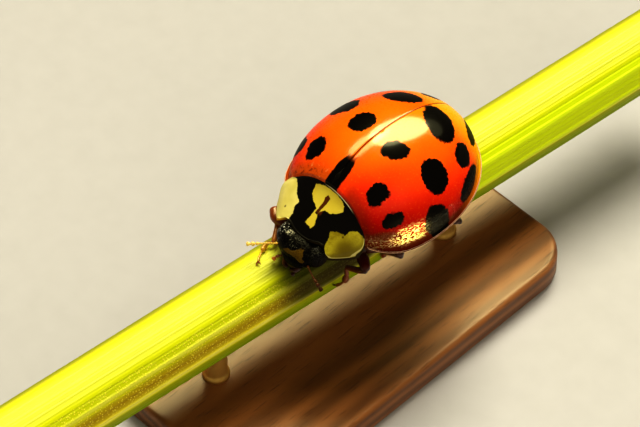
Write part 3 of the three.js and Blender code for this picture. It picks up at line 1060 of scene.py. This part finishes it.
# Each dimple is a small dark dot of painted shade, as the mesh has no hollow there.
DIMPLES = [(1.06, -2.58, 0.75), (-0.98, -2.81, 0.58)]
for dimple in DIMPLES:
    dimple_shade = step(away_from(place, dimple) + (fine - 0.5) * 0.04, 0.05, 0.01)
    side_tint = blend(side_tint, (70, 48, 8), dimple_shade * 0.8)
# The low outer band of the left patch is painted darker still, as shade.
side_tint = blend(side_tint, (110, 96, 16), step(share, 0.9, 0.96) * leftwards * 0.6)

# The middle is black with the pale figure, and the streak inside the figure is brown.
streak = band(x, -0.06, -0.03, 0.14, 0.18) * band(y, -2.6, -2.52, -2.1, -2.06)
black = blend(blend(BLACK, (16, 10, 7), fine), (92, 44, 8), streak)
figure_tint = blend((228, 212, 88), (212, 186, 50), cloud)
shield_tint = blend(black, figure_tint, step(figure + tooth * 0.8, -0.006, 0.012))
shield_tint = blend(shield_tint, side_tint, side_patch)

# A pale line is painted on the raised rim beside the patches and a brighter one behind, both as highlights.
# The rim's wall is painted dark as shade, and amber at the right.
shield_tint = blend(shield_tint, (236, 226, 160), band(share, 0.976, 0.98, 0.986, 0.991) * side_patch * 0.5)
rear_rim_highlight = band(share, 0.925, 0.938, 0.955, 0.965) * step(y, -2.3, -2.14) * band(x, -0.3, 0.1, 0.7, 1.0)
shield_tint = blend(shield_tint, (250, 244, 200), rear_rim_highlight)
wall_tint = blend((44, 34, 8), (214, 160, 44), step(x, -0.6, -0.95))
shield_tint = blend(shield_tint, wall_tint, step(share, 0.988, 0.993))
shield_paint.wear(
    Base_Color=shield_tint,
    Roughness=0.34 + fine * 0.12 + step(share, 0.95, 0.985) * 0.5,
    Normal=dent(pits(place, 16.0, 0.32) * 0.6 + fine * 0.4, 0.006),
    Coat_Weight=0.15,
    Coat_Roughness=0.12,
    Specular_IOR_Level=0.25,
)
build("neck_shield", shield_shape(), shield_paint, ["pronotum"])

# %% [markdown]
# ## The head
# The head is half hidden under the shield. It is a rounded box with big eyes at its corners, a pale patch
# on the brow, and below that the upper lip. It is modelled as an egg that is pinched in front of
# the eyes, with a shallow groove where the lip begins. Tiny pits cover it. Real ones scatter the light
# into sparks, but those are too fine for a render of this size, so pale specks stand in for them.

# %% The head
HEAD_AT = (-0.02, -3.15, -0.09)
HEAD_RADII = (0.76, 0.53, 0.46)
BROW = [
    (-0.26, 0.14), (-0.08, 0.25), (0.04, 0.26), (0.15, 0.3), (0.26, 0.38), (0.37, 0.37), (0.43, 0.3),
    (0.44, 0.2), (0.53, 0.12), (0.5, 0.03), (0.39, 0.06), (0.26, 0.13), (0.09, 0.15), (-0.11, 0.13),
]


def head_shape():
    def grow(way):
        front = max(0.0, -way.y)
        cheek = 0.05 * exp(-((abs(way.x) - 0.62) / 0.22) ** 2) * front
        lip_line = -0.05 * exp(-((way.z + 0.42) / 0.07) ** 2) * front ** 2
        brow_dip = -0.035 * exp(-(way.x / 0.28) ** 2 - ((way.z - 0.35) / 0.35) ** 2) * front
        return 1 + cheek + lip_line + brow_dip

    shape = egg(HEAD_AT, HEAD_RADII, tilt=-0.3, across=120, up=72, grow=grow)
    for i, (x, y, z) in enumerate(shape.points):
        on_brow = inside_by(x - HEAD_AT[0], z - HEAD_AT[2], BROW) if y < HEAD_AT[1] else -1.0
        shape.notes[i] = (on_brow, z - HEAD_AT[2], 0.0)
    lip = egg((0.06, -3.54, -0.2), (0.42, 0.2, 0.2), tilt=-0.2, across=72, up=36)
    lip.notes = [(-1.0, z - HEAD_AT[2], 0.0) for x, y, z in lip.points]
    return shape.add(lip)


# %% The finish of the head
head_paint = Finish("head_black")
place = where(head_paint)
x, _, z = parts(place)
on_brow, rise, _ = written(head_paint)
fine = mottle(place, 26.0, 2.0)
head_tint = blend(blend((4, 4, 4), (18, 13, 9), fine), (74, 26, 9), step(rise, -0.2, -0.4) * 0.6)
brow = step(on_brow + (mottle(place, 14.0, 2.0) - 0.5) * 0.06, -0.008, 0.012)
head_tint = blend(head_tint, blend((112, 88, 22), (72, 50, 10), fine), brow)

# The sparks lie high on the head, mostly on its right, where some crowd together.
glitter = step(mottle(place, 24.0, 2.0, 0.7), 0.61, 0.68) * step(mottle(place, 3.0, 1.0), 0.42, 0.62)
glitter = glitter * (0.15 + 0.55 * step(x, 0.3, -0.1)) * (0.15 + 0.85 * step(z, 0.12, 0.36))
crowd = step(away_from(place, (-0.41, -3.21, 0.45)), 0.24, 0.1)
crowd = crowd * step(mottle(place, 22.0, 2.0, 0.7), 0.46, 0.56)
head_paint.wear(
    Base_Color=blend(head_tint, (226, 222, 180), (glitter * 0.75).most(crowd * 0.9)),
    Roughness=0.16 + fine * 0.14,
    Normal=dent(pits(place, 15.0, 0.4) * 0.75 + fine * 0.5, 0.036),
    Specular_IOR_Level=0.08,
)
build("head_capsule", head_shape(), head_paint, ["head"])

# %% [markdown]
# A beetle's eye is a field of hundreds of lenses. Making them as geometry would cost a great many faces
# for something seen at the limit of sharpness, so the eye is a smooth egg and a Voronoi texture
# supplies the lenses: its distance is a little dome over each cell, and the bump turns the domes into
# facets. Pale specks high on the eye stand in for their glints.

# %% The eyes
EYE_RADII = (0.25, 0.36, 0.36)


def eye_shape(side):
    def grow(way):
        return 1 - 0.1 * exp(-((way.z - 0.1) / 0.35) ** 2) * max(0.0, -way.y) * max(0.0, -way.x * side)
    return egg((side * 0.6, -3.1, 0.0), EYE_RADII, tilt=-0.4, across=64, up=40, grow=grow)


eye_gloss = Finish("eye_gloss")
place = where(eye_gloss)
x, _, z = parts(place)
lens = eye_gloss.node("ShaderNodeTexVoronoi", sockets={"Vector": place, "Scale": 21.0, "Randomness": 0.25})
eye_tint = blend((3, 3, 3), (18, 14, 10), mottle(place, 4.0) * step(lens, 0.1, 0.6))
spark = step(mottle(place, 24.0, 2.0, 0.7), 0.54, 0.64) * step(z, 0.16, 0.32)
spark = spark * (0.1 + 0.9 * step(x, 0.3, -0.3))
eye_gloss.wear(
    Base_Color=blend(eye_tint, (240, 238, 214), spark * 0.9),
    Roughness=0.14 + lens * 0.16,
    Normal=dent(1 - lens, 0.03),
    Specular_IOR_Level=0.2,
)
for side_name, side in (("left", 1), ("right", -1)):
    build(f"eye_{side_name}_facets", eye_shape(side), eye_gloss, [f"eye_{side_name}"])

# %% [markdown]
# The mouthparts are the upper lip, the tips of the jaws and two pairs of feeling palps. The larger palps
# end in an axe-shaped joint, which is a mark of the family. They are small dark-red limbs, swept along
# curves, gathered into one piece because they share a node.

# %% The mouthparts
horn = Finish("horn_brown")
place = where(horn)
x = parts(place)[0]
fine = mottle(place, 18.0, 3.0)
# Only the right palps lighten to amber along their length; the left ones are kept dark as painted shade.
horn_tint = blend((50, 15, 5), (190, 112, 26), written(horn)[0] * step(x, -0.1, -0.36))
horn.wear(
    Base_Color=blend(horn_tint, (34, 12, 6), step(fine, 0.5, 0.75) * 0.6),
    Roughness=0.3 + fine * 0.15,
    Normal=dent(fine, 0.006),
    Coat_Weight=0.35,
    Coat_Roughness=0.15,
)
PALP_WIDTHS = [[0.035, 0.045, 0.035], [0.032, 0.045, 0.035], [0.035, 0.06, 0.072]]
PALPS = [
    [(0.16, -3.46, -0.46), (0.22, -3.58, -0.53), (0.22, -3.66, -0.6), (0.19, -3.72, -0.67)],
    [(-0.22, -3.5, -0.38), (-0.37, -3.62, -0.37), (-0.46, -3.72, -0.42), (-0.48, -3.8, -0.5)],
]


def mouth_shape():
    lip = egg((0, -3.43, -0.38), (0.34, 0.24, 0.15), tilt=0.5, across=48, up=24)
    for side in (1, -1):
        jaw = [(side * 0.26, -3.46, -0.46), (side * 0.2, -3.62, -0.54), (side * 0.04, -3.68, -0.57)]
        lip.add(sweep(jaw, rounded([0.09, 0.08, 0.04]), 14, 12))
    for knots in PALPS:
        for joint, widths in enumerate(PALP_WIDTHS):
            span = (joint / 3, joint / 3 + 0.33)
            lip.add(sweep(knots[joint: joint + 2], rounded(widths, 0.2), 12, 14, span=span))
        (ax, ay, az), (bx, by, bz) = knots[:2]
        inner = [(ax * 0.5, ay - 0.02, az - 0.12), (bx * 0.6, by + 0.02, bz - 0.16)]
        lip.add(sweep(inner, rounded([0.035, 0.045, 0.03]), 12, 10))
    return lip


build("mouthparts_set", mouth_shape(), horn, ["mouthparts"])

# %% [markdown]
# ## The feelers
# A ladybird's feeler has eleven joints: a stout first one, a row of small ones like beads, and three wider
# ones that form the club. A straight tube would look like wire, so every bead is swept on its own, narrow
# at its ends, along one shared curve, and a few fine bristles stand on it.

# %% The feelers
def feeler_finish(name, root_tint, tip_tint, fleck_tint):
    finish = Finish(name)
    fine = mottle(where(finish), 20.0, 2.0)
    feeler_tint = blend(root_tint, tip_tint, written(finish)[0])
    finish.wear(
        Base_Color=blend(feeler_tint, fleck_tint, step(fine, 0.5, 0.8) * 0.4),
        Roughness=0.38 + fine * 0.15,
        Normal=dent(fine, 0.004),
        Coat_Weight=0.2,
    )
    return finish


# The feelers are one yellow-brown: the right one is made paler with painted light, the left one darker with
# painted shade.
FEELER_FINISHES = {
    "left": feeler_finish("feeler_brown_shaded", (128, 72, 18), (52, 20, 8), (60, 26, 8)),
    "right": feeler_finish("feeler_straw_lit", (226, 176, 44), (236, 206, 112), (150, 84, 20)),
}
FEELER_CURVES = {
    "left": [
        (0.46, -3.42, -0.1), (0.62, -3.5, -0.14), (0.8, -3.56, -0.22),
        (1.02, -3.6, -0.36), (1.26, -3.6, -0.56),
    ],
    "right": [
        (-0.46, -3.44, -0.06), (-0.56, -3.6, -0.02), (-0.74, -3.78, -0.01),
        (-0.92, -4.0, 0.0), (-1.14, -4.2, -0.03),
    ],
}
BEADS = [0.15, 0.06, 0.07, 0.055, 0.055, 0.055, 0.055, 0.06, 0.09, 0.09, 0.1]
BEAD_WIDTH = [0.055, 0.036, 0.026, 0.023, 0.023, 0.024, 0.025, 0.03, 0.05, 0.064, 0.06]
CLUB_FROM = 8
CURVE_STEPS = 120
STALK_HAIRS = 5
CLUB_HAIRS = 12


# %% The shapes of a feeler
def feeler_shapes(knots, seed):
    curve = along_curve(knots, CURVE_STEPS + 1)
    chance = random.Random(seed)
    total = sum(BEADS)
    stalk = Shape()
    club = Shape()
    start = 0.0
    for joint, (long, wide) in enumerate(zip(BEADS, BEAD_WIDTH)):
        span = (start / total, (start + long) / total)
        start += long
        middle = [curve[round(s * CURVE_STEPS)] for s in (span[0], sum(span) / 2, span[1])]
        part, low, hairs = (stalk, 0.62, STALK_HAIRS) if joint < CLUB_FROM else (club, 0.5, CLUB_HAIRS)
        part.add(sweep(middle, rounded([wide * low, wide, wide * 0.95], 0.16), 12, 14, span=span))
        tangent = (middle[2] - middle[0]).normalized()
        for _ in range(hairs):
            out = off_limb(tangent, chance.uniform(0, tau))
            root = middle[1] + out * wide * 0.9
            part.add(bristle(root, out * 0.6 + tangent, 0.05 + 0.02 * chance.random(), 0.003, 0.0))
    return stalk, club


for seed, side_name in enumerate(("left", "right")):
    stalk, club = feeler_shapes(FEELER_CURVES[side_name], seed)
    finish = FEELER_FINISHES[side_name]
    build(f"feeler_{side_name}_beads", stalk, finish, [f"antenna_{side_name}_stalk"])
    build(f"feeler_{side_name}_club", club, finish, [f"antenna_{side_name}_club"])

# %% [markdown]
# ## The legs
# Each leg is a hip, a broad flattened thigh, a thin shin and a foot. The foot has a wide joint covered with
# sticky hairs, a slender last joint and a pair of claws, which hold the stem. The corners lie within about
# a third of a millimetre of the CAD model's, and the limbs are thinner than its solids, as an insect's are.

# %% The corners of the legs
# Each leg: its hip, its knee, the middle of its shin, and the corners of its foot from the ankle to the
# claws. The left front foot hangs over the side of the stem and bends towards the head at its end, and
# the slimmer right one is set down on the stem with its end curled towards the beetle.
LEGS = {
    "front_left": [
        (0.62, -2.2, -0.32), (1.83, -2.42, -0.2), (1.5, -2.44, -0.42),
        (1.0, -2.38, -0.78), (1.04, -2.4, -1.15), (0.88, -2.45, -1.55), (0.58, -2.47, -1.9),
    ],
    "front_right": [
        (-0.55, -2.4, -0.3), (-1.56, -2.7, -0.02), (-1.2, -2.9, -0.28),
        (-0.85, -3.42, -0.42), (-1.04, -3.49, -0.54), (-0.95, -3.76, -0.55),
        (-0.81, -4.04, -0.53), (-0.7, -4.17, -0.54),
    ],
    "middle_left": [
        (0.85, -0.95, -0.36), (2.04, -1.2, -0.42), (1.62, -1.12, -0.72),
        (1.1, -0.98, -1.2), (0.8, -0.68, -1.95),
    ],
    "middle_right": [
        (-0.85, -0.95, -0.36), (-2.1, -1.3, -0.42), (-1.95, -1.2, -0.8),
        (-1.76, -1.08, -1.25), (-1.61, -0.85, -1.89),
    ],
    "hind_left": [
        (0.85, 0.45, -0.38), (2.3, 0.86, -0.46), (1.95, 1.1, -0.75),
        (1.34, 1.5, -1.25), (1.06, 1.75, -1.87),
    ],
    "hind_right": [
        (-0.85, 0.45, -0.38), (-2.24, 0.95, -0.46), (-2.02, 1.2, -0.8),
        (-1.64, 1.55, -1.3), (-1.24, 1.8, -1.87),
    ],
}
THIGH_WIDTH = [0.11, 0.17, 0.175, 0.13]
SHIN_WIDTH = [0.08, 0.09, 0.085, 0.07]
FOOT_SLIMNESS = {"front_right": 0.65}

# The front thighs bow, the left one rearwards and the right one forwards.
THIGH_BEND = {"front_left": 0.2, "front_right": -0.32}


# %% The finishes of the legs
def leg_finish(name, tints):
    finish = Finish(name)
    place = where(finish)
    fine = mottle(place, 9.0, 4.0)
    grain = mottle(place, 30.0, 2.0)
    leg_tint = ramp_tint(written(finish)[0] + (fine - 0.5) * 0.2, tints)
    finish.wear(
        Base_Color=blend(leg_tint, (30, 10, 5), step(fine, 0.55, 0.8) * 0.5),
        Roughness=0.26 + grain * 0.2,
        Normal=dent(grain, 0.005),
        Coat_Weight=0.35,
        Coat_Roughness=0.12,
    )
    return finish


leg_dark = leg_finish("leg_chestnut", [
    (0.0, (44, 12, 5)), (0.3, (72, 18, 6)), (0.48, (50, 14, 5)),
    (0.62, (98, 34, 8)), (0.8, (120, 54, 14)), (1.0, (128, 66, 20)),
])
# The right front leg gets a paler amber copy of the same finish as painted light, as that leg stands in the
# light.
leg_lit_amber = leg_finish("leg_lit_amber", [
    (0.0, (96, 34, 8)), (0.46, (140, 66, 12)), (0.7, (172, 98, 18)), (1.0, (196, 150, 34)),
])


# %% The hairs of a limb
HAIR_PLACES = 40
HAIR_THICK = 0.004
HAIR_DROOP = 0.1


def with_hairs(shape, knots, width, first, last, count, seed, long):
    """Adds fine short hairs along a limb, leaning towards its far end."""
    chance = random.Random(seed)
    path = along_curve(knots, HAIR_PLACES)
    for _ in range(count):
        share = chance.uniform(first, last)
        i = min(int(share * (HAIR_PLACES - 1)), HAIR_PLACES - 2)
        tangent = (path[i + 1] - path[i]).normalized()
        out = off_limb(tangent, chance.uniform(0, tau))
        root = path[i] + out * between(width, share) * 0.85
        length = long * chance.uniform(0.7, 1.2)
        shape.add(bristle(root, out * 0.55 + tangent, length, HAIR_THICK, HAIR_DROOP))
    return shape


# %% The thigh and the shin
def thigh_shape(hip, knee, seed, bend):
    middle = (Vector(hip) + Vector(knee)) / 2 + Vector((bend * 0.3, bend, 0.03))
    knots = [hip, middle, knee]
    shape = sweep(knots, rounded(THIGH_WIDTH, 0.1), 28, 22, flat=0.82, span=(0.0, 0.42))
    return with_hairs(shape, knots, THIGH_WIDTH, 0.55, 0.95, 26, seed, 0.06)


def shin_shape(knots, seed):
    shape = sweep(knots, rounded(SHIN_WIDTH, 0.07), 28, 18, span=(0.46, 0.74))
    return with_hairs(shape, knots, SHIN_WIDTH, 0.1, 0.97, 90, seed, 0.085)


# %% The foot
# Each joint of a foot: where it begins and ends along the foot, its half-widths and its hairs.
FOOT_JOINTS = [
    (0.0, 0.26, [0.05, 0.075, 0.1], 34),
    (0.24, 0.5, [0.05, 0.11, 0.125], 60),
    (0.46, 0.9, [0.035, 0.045, 0.055], 14),
]
FOOT_STEPS = 100
CLAWS_FROM = 88
CLAW_WIDTH = [0.024, 0.019, 0.006]


def foot_shape(knots, seed, slim):
    curve = along_curve(knots, FOOT_STEPS + 1)
    way = (curve[-1] - curve[-12]).normalized()
    shape = Shape()
    for number, (first, last, width, hairs) in enumerate(FOOT_JOINTS):
        part = [curve[round(s * FOOT_STEPS)] for s in (first, (first + last) / 2, last)]
        thick = rounded([w * slim for w in width], 0.16)
        span = (0.76 + number * 0.08, 0.84 + number * 0.08)
        shape.add(sweep(part, thick, 16, 16, flat=0.75, up=way.orthogonal(), span=span))
        with_hairs(shape, part, width, 0.1, 0.98, hairs, seed + number, 0.07)
    sideways = way.orthogonal().normalized()
    root = curve[CLAWS_FROM]
    for side in (1, -1):
        bow = root + way * 0.07 + sideways * side * 0.06
        tip = root + way * 0.11 + sideways * side * 0.05 + way.cross(sideways) * 0.05
        shape.add(sweep([root, bow, tip], rounded(CLAW_WIDTH, 0.1), 12, 10, span=(0.5, 0.5)))
    return shape


# %% The legs
HIP_RADII = (0.22, 0.2, 0.19)
for number, (leg_name, (hip, knee, bow, *foot)) in enumerate(LEGS.items()):
    leg_parts = {
        "hip": egg(hip, HIP_RADII, across=28, up=18),
        "thigh": thigh_shape(hip, knee, number, THIGH_BEND.get(leg_name, 0.0)),
        "shin": shin_shape([knee, bow, foot[0]], number + 20),
        "foot": foot_shape(foot, number + 40, FOOT_SLIMNESS.get(leg_name, 1.0)),
    }
    for part_name, shape in leg_parts.items():
        # The right front leg wears the paler copy, painted light.
        finish = leg_lit_amber if leg_name == "front_right" else leg_dark
        build(f"{leg_name}_{part_name}", shape, finish, [f"leg_{leg_name}_{part_name}"])

# %% [markdown]
# ## The underside
# Below the wing cases the body is a flat keel of overlapping dark plates, with chestnut edges on the
# belly. They are laid as rings along the body. Each plate's rear edge is a small step, as the plates of
# real armour overlap from front to back.

# %% The underside
belly_horn = Finish("belly_horn")
place = where(belly_horn)
fine = mottle(place, 12.0, 4.0)
belly_edge = step(without_sign(parts(place)[0]), 1.0, 1.7)
belly_tint = blend((22, 13, 9), (128, 56, 18), belly_edge * written(belly_horn)[0])
belly_horn.wear(
    Base_Color=blend(belly_tint, (12, 8, 6), step(fine, 0.5, 0.75) * 0.6),
    Roughness=0.36 + fine * 0.2,
    Normal=dent(pits(place, 14.0, 0.4) + fine * 0.4, 0.006),
    Coat_Weight=0.25,
)


# %% Helpers for the plates
def body_width(y):
    length, power = half_plan(y)
    return HALF_WIDTH * max(0.0, 1 - (abs(y) / length) ** power) ** (1 / power)


PLATE_STEPS = 90
PLATE_SIDES = 40


def plates_shape(first, last, edges, drop, wide, brown):
    """A run of overlapping plates between two places along the body. brown says how brown their edges are."""
    rows = [[(0.0, first, 0.1, brown)] * PLATE_SIDES]
    for i in range(PLATE_STEPS + 1):
        y = first + (last - first) * i / PLATE_STEPS
        behind = min([edge - y for edge in edges if edge >= y] or [9.0])
        swell = 0.03 * exp(-behind / 0.07)
        half = min(wide, body_width(y) * 0.88) * (1 + swell * 0.4)
        deep = drop(y) + swell
        row = []
        for s in range(PLATE_SIDES):
            angle = s / PLATE_SIDES * tau
            up = sin(angle)
            across = copysign(abs(cos(angle)) ** 0.7, cos(angle))
            row.append((half * across, y, 0.12 + (0.42 * up if up > 0 else deep * up), brown))
        rows.append(row)
    rows.append([(0.0, last, 0.1, brown)] * PLATE_SIDES)
    return Shape(rows)


def browned(shape, brown):
    """Notes for every point how brown the edges of its plate are."""
    shape.notes = [(brown, 0.0, 0.0)] * len(shape.points)
    return shape


# %% The plates of the belly, the breast and the chest
def belly_depth(y):
    return 0.46 * sqrt(max(0.02, 1 - (y / 3.0) ** 2))


abdomen = plates_shape(0.32, 2.95, [0.62, 1.0, 1.4, 1.8, 2.2, 2.6, 2.95], belly_depth, 1.95, 1.0)
thorax = plates_shape(-2.05, 0.28, [-1.5, -0.55, 0.28], lambda y: 0.48, 1.85, 0.3)
chest = browned(egg((0, -2.3, 0.14), (1.38, 0.8, 0.52), tilt=-0.35, across=48, up=28), 0.2)
for side in (1, -1):
    thorax.add(browned(egg((side * 1.1, -1.96, 0.02), (0.36, 0.36, 0.32)), 0.3))
build("belly_plates", abdomen, belly_horn, ["abdomen"])
build("breast_plates", thorax, belly_horn, ["thorax"])
build("chest_plates", chest, belly_horn, ["prothorax"])

# %% [markdown]
# ## The stem
# The perch is a short length cut from a grass stem, with long ribs and furrows. A ribbed tube could be made
# by displacing a cylinder, but then the ribs would depend on where its vertices happen to fall. Here
# the radius is a sum of waves round the stem, and each point notes its place round it, so the finish can
# give every rib and furrow a tint of its own. The ends are flat cuts that show the pith.

# %% The stem
stem_foot, stem_size = footing("perch_stem")
STEM_RADIUS = 1.15
STEM_LENGTH = 25.6
STEM_YAW = radians(-6)
RIBS = [
    (5, 0.045, 4.5), (36, 0.036, 5), (57, 0.014, 4), (-28, 0.04, 6), (-60, 0.045, 6), (-92, 0.04, 6),
    (-125, 0.045, 6), (-158, 0.04, 6), (172, 0.04, 6), (143, 0.03, 6),
]
STEM_MIDDLE = stem_foot + Vector((0, 0, stem_size[2] - STEM_RADIUS)) * MM


# %% The shape of the stem
def stem_radius(angle, along):
    turned = degrees(angle) + 1.5 * sin(along * 0.21 + 0.7)
    height = STEM_RADIUS - 0.055 - 0.09 * exp(-((turned - 138) / 22) ** 2)
    for rib, rise, half in RIBS:
        away = (turned - rib + 180) % 360 - 180
        height += rise * exp(-(away / half) ** 2)
    height += 0.004 * cos(47 * angle + 0.4) + 0.003 * cos(83 * angle + 1.1)
    return height + 0.008 * noise.noise(Vector((cos(angle) * 1.5, sin(angle) * 1.5, along * 0.5)))


STEM_SIDES = 462
STEM_STEPS = 90
CUT_SHARES = [0.0, 0.35, 0.75, 0.985]


def stem_shape():
    stations = [STEM_LENGTH * (i / STEM_STEPS - 0.5) for i in range(STEM_STEPS + 1)]
    ring_places = [(stations[0], share) for share in CUT_SHARES]
    ring_places += [(station, 1.0) for station in stations[1:-1]]
    ring_places += [(stations[-1], share) for share in reversed(CUT_SHARES)]
    rows = []
    for along, share in ring_places:
        row = []
        for a in range(STEM_SIDES):
            angle = a / STEM_SIDES * tau
            reach = stem_radius(angle, along) * share
            across = reach * cos(angle)
            x = across * cos(STEM_YAW) - along * sin(STEM_YAW)
            y = across * sin(STEM_YAW) + along * cos(STEM_YAW)
            row.append((x, y, reach * sin(angle), cos(angle), sin(angle), share))
        rows.append(row)
    return Shape(rows)


# %% The finish of the stem
# How far round the stem, from 0 at the bottom, up the beetle's left side, over the top and back to 1.
STEM_TINTS = [
    (0.0, (128, 146, 3)), (0.19, (136, 154, 2)), (0.236, (158, 164, 2)), (0.25, (222, 216, 44)),
    (0.264, (240, 234, 112)), (0.278, (192, 174, 16)), (0.3, (164, 138, 3)), (0.32, (170, 150, 2)),
    (0.336, (200, 198, 8)), (0.35, (222, 222, 80)), (0.364, (178, 184, 4)), (0.388, (176, 184, 2)),
    (0.403, (206, 212, 6)), (0.418, (206, 210, 46)), (0.444, (203, 206, 64)), (0.528, (205, 208, 66)),
    (0.55, (224, 228, 34)), (0.58, (214, 212, 14)), (0.605, (186, 184, 8)), (0.66, (120, 126, 6)),
    (1.0, (116, 130, 4)),
]
stem_green = Finish("stem_green")
place = where(stem_green)
along = parts(place)[1]
first_part, second_part, cut_share = written(stem_green)
turn = stem_green.node("ShaderNodeMath", {"operation": "ARCTAN2"}, {0: first_part, 1: second_part})
round_share = 0.5 - turn / tau
streaks = mottle(where(stem_green, (1.0, 0.06, 1.0)), 5.0, 3.0, 0.5)
fibres = mottle(where(stem_green, (1.0, 0.03, 1.0)), 22.0, 3.0)
stem_tint = ramp_tint(round_share + (streaks - 0.5) * 0.008, STEM_TINTS)
stem_tint = blend(stem_tint, (236, 226, 130), step(fibres, 0.56, 0.8) * 0.22)
stem_tint = blend(stem_tint, (128, 138, 4), step(streaks, 0.46, 0.22) * 0.22)

# The rear half of the furrow is younger and greener, and the front half has fine pale specks.
young = step(along, 1.2, 3.2) * band(round_share, 0.25, 0.262, 0.38, 0.405)
stem_tint = blend(stem_tint, (206, 226, 3), young * 0.85)
specks = step(pits(place, 14.0, 0.6), 0.75, 0.35) * (1 - young)
specks = specks * band(round_share, 0.272, 0.285, 0.385, 0.4)
stem_tint = blend(stem_tint, (238, 224, 80), specks * 0.5)

# Close under the beetle a dark patch is painted on the stem as the beetle's shadow, and its coat is thinner
# there.
painted_stem_shadow = step(along + (streaks - 0.5) * 0.8, -4.9, -3.4) * step(along, -0.4, -1.3)
painted_stem_shadow = painted_stem_shadow * band(round_share, 0.228, 0.272, 0.44, 0.5)
stem_tint = blend(stem_tint, (8, 7, 1), painted_stem_shadow * 0.86)

# The cut ends show a pale pith with large pores inside a green rind.
cut_face = step(cut_share, 0.999, 0.995)
pores = pits(place, 7.0, 0.45)
pith = blend(blend((150, 150, 60), (220, 214, 150), pores), (120, 132, 30), step(cut_share, 0.86, 0.96))
stem_green.wear(
    Base_Color=blend(stem_tint, pith, cut_face),
    Roughness=0.46 + fibres * 0.2,
    Normal=dent(streaks * 0.4 + fibres * 0.3 + specks * 0.3 + pores * cut_face, 0.016),
    Coat_Weight=0.1 * (1 - painted_stem_shadow),
    Coat_Roughness=0.3,
    Specular_IOR_Level=0.25,
)
build("grass_stem", stem_shape(), stem_green, ["perch_stem"], origin=STEM_MIDDLE)

# %% [markdown]
# ## The stand
# A museum model needs something to stand on that says nothing of its own. The base is a small wooden board
# with rounded corners and a softened edge, and two brass rods carry the stem. Wood is drawn as rings:
# a wave along a slightly crooked axis, with long fine pores on top. Turned brass needs little more than a
# brushed roughness, and each rod has a small foot where it enters the board.

# %% The base board
BASE_MIDDLE, (base_wide, base_long, BASE_THICK) = footing("stand_base")
BASE_CORNER = 1.35
EDGE = 0.16
CORNER_STEPS = 12
EDGE_TURNS = [radians(d) for d in (20, 45, 70, 90)]
QUARTERS = [(1, 1), (-1, 1), (-1, -1), (1, -1)]


def board_shape():
    insets = [(EDGE, 0.0)]
    insets += [(EDGE * (1 - sin(a)), EDGE * (1 - cos(a))) for a in EDGE_TURNS]
    insets += [(0.0, BASE_THICK - EDGE)]
    insets += [(EDGE * (1 - cos(a)), BASE_THICK - EDGE * (1 - sin(a))) for a in EDGE_TURNS]
    insets += [(EDGE * 1.6, BASE_THICK)]
    rows = []
    for inset, height in insets:
        reach = BASE_CORNER - inset
        row = []
        for quarter, (left, rear) in enumerate(QUARTERS):
            for k in range(CORNER_STEPS + 1):
                angle = radians(90 * (quarter + k / CORNER_STEPS))
                x = (base_wide / 2 - BASE_CORNER) * left + reach * cos(angle)
                y = (base_long / 2 - BASE_CORNER) * rear + reach * sin(angle)
                row.append((x, y, height))
        rows.append(row)
    count = len(rows[0])
    return Shape([[(0.0, 0.0, 0.0)] * count, *rows, [(0.0, 0.0, BASE_THICK)] * count])


# %% The wood of the board
walnut = Finish("walnut_board")
place = where(walnut, (1.0, 0.16, 1.0))
rings = walnut.node(
    "ShaderNodeTexWave",
    {"wave_type": "RINGS", "rings_direction": "Y"},
    {"Vector": place, "Scale": 0.9, "Distortion": 4.0, "Detail": 2.0, "Detail Scale": 0.8},
    out=1,
)
pores = mottle(where(walnut, (1.0, 0.06, 1.0)), 22.0, 3.0)
open_pores = step(pores, 0.56, 0.72)
wood_tint = blend((92, 56, 30), (150, 98, 54), rings * 0.6 + mottle(place, 0.7, 3.0) * 0.4)
walnut.wear(
    Base_Color=blend(wood_tint, (60, 36, 20), open_pores * 0.45),
    Roughness=0.42 + pores * 0.2,
    Normal=dent(rings * 0.3 - open_pores, 0.006),
    Coat_Weight=0.25,
    Coat_Roughness=0.25,
)
build("base_board", board_shape(), walnut, ["stand_base"], origin=BASE_MIDDLE)


# %% The brass rods
ROD_SIDES = 40


def rod_shape(radius, long):
    # Each ring: its share of the radius, and its height.
    profile = [
        (0.0, 0.0), (1.0, 0.0), (1.0, 0.1), (0.9, 0.16), (0.86, 0.2), (0.84, 0.3),
        (0.84, long - 0.1), (0.8, long - 0.03), (0.74, long), (0.0, long),
    ]
    across = Vector((radius, 0, 0))
    along = Vector((0, radius, 0))
    return Shape([loop_of(Vector((0, 0, z)), across * r, along * r, ROD_SIDES) for r, z in profile])


brass = Finish("brass_rod")
brass_lines = mottle(where(brass, (1.0, 1.0, 6.0)), 14.0, 2.0)
tarnish = mottle(where(brass), 1.6, 4.0)
brass.wear(
    Base_Color=blend((240, 204, 122), (190, 144, 70), step(tarnish, 0.48, 0.75) * 0.6),
    Metallic=0.75,
    Roughness=0.24 + brass_lines * 0.18 + tarnish * 0.08,
    Normal=dent(brass_lines, 0.004),
)
for end in ("front", "rear"):
    rod_foot, (rod_wide, _, rod_long) = footing(f"stand_rod_{end}")
    rod = rod_shape(rod_wide / 2, rod_long)
    build(f"brass_rod_{end}", rod, brass, [f"stand_rod_{end}"], origin=rod_foot)
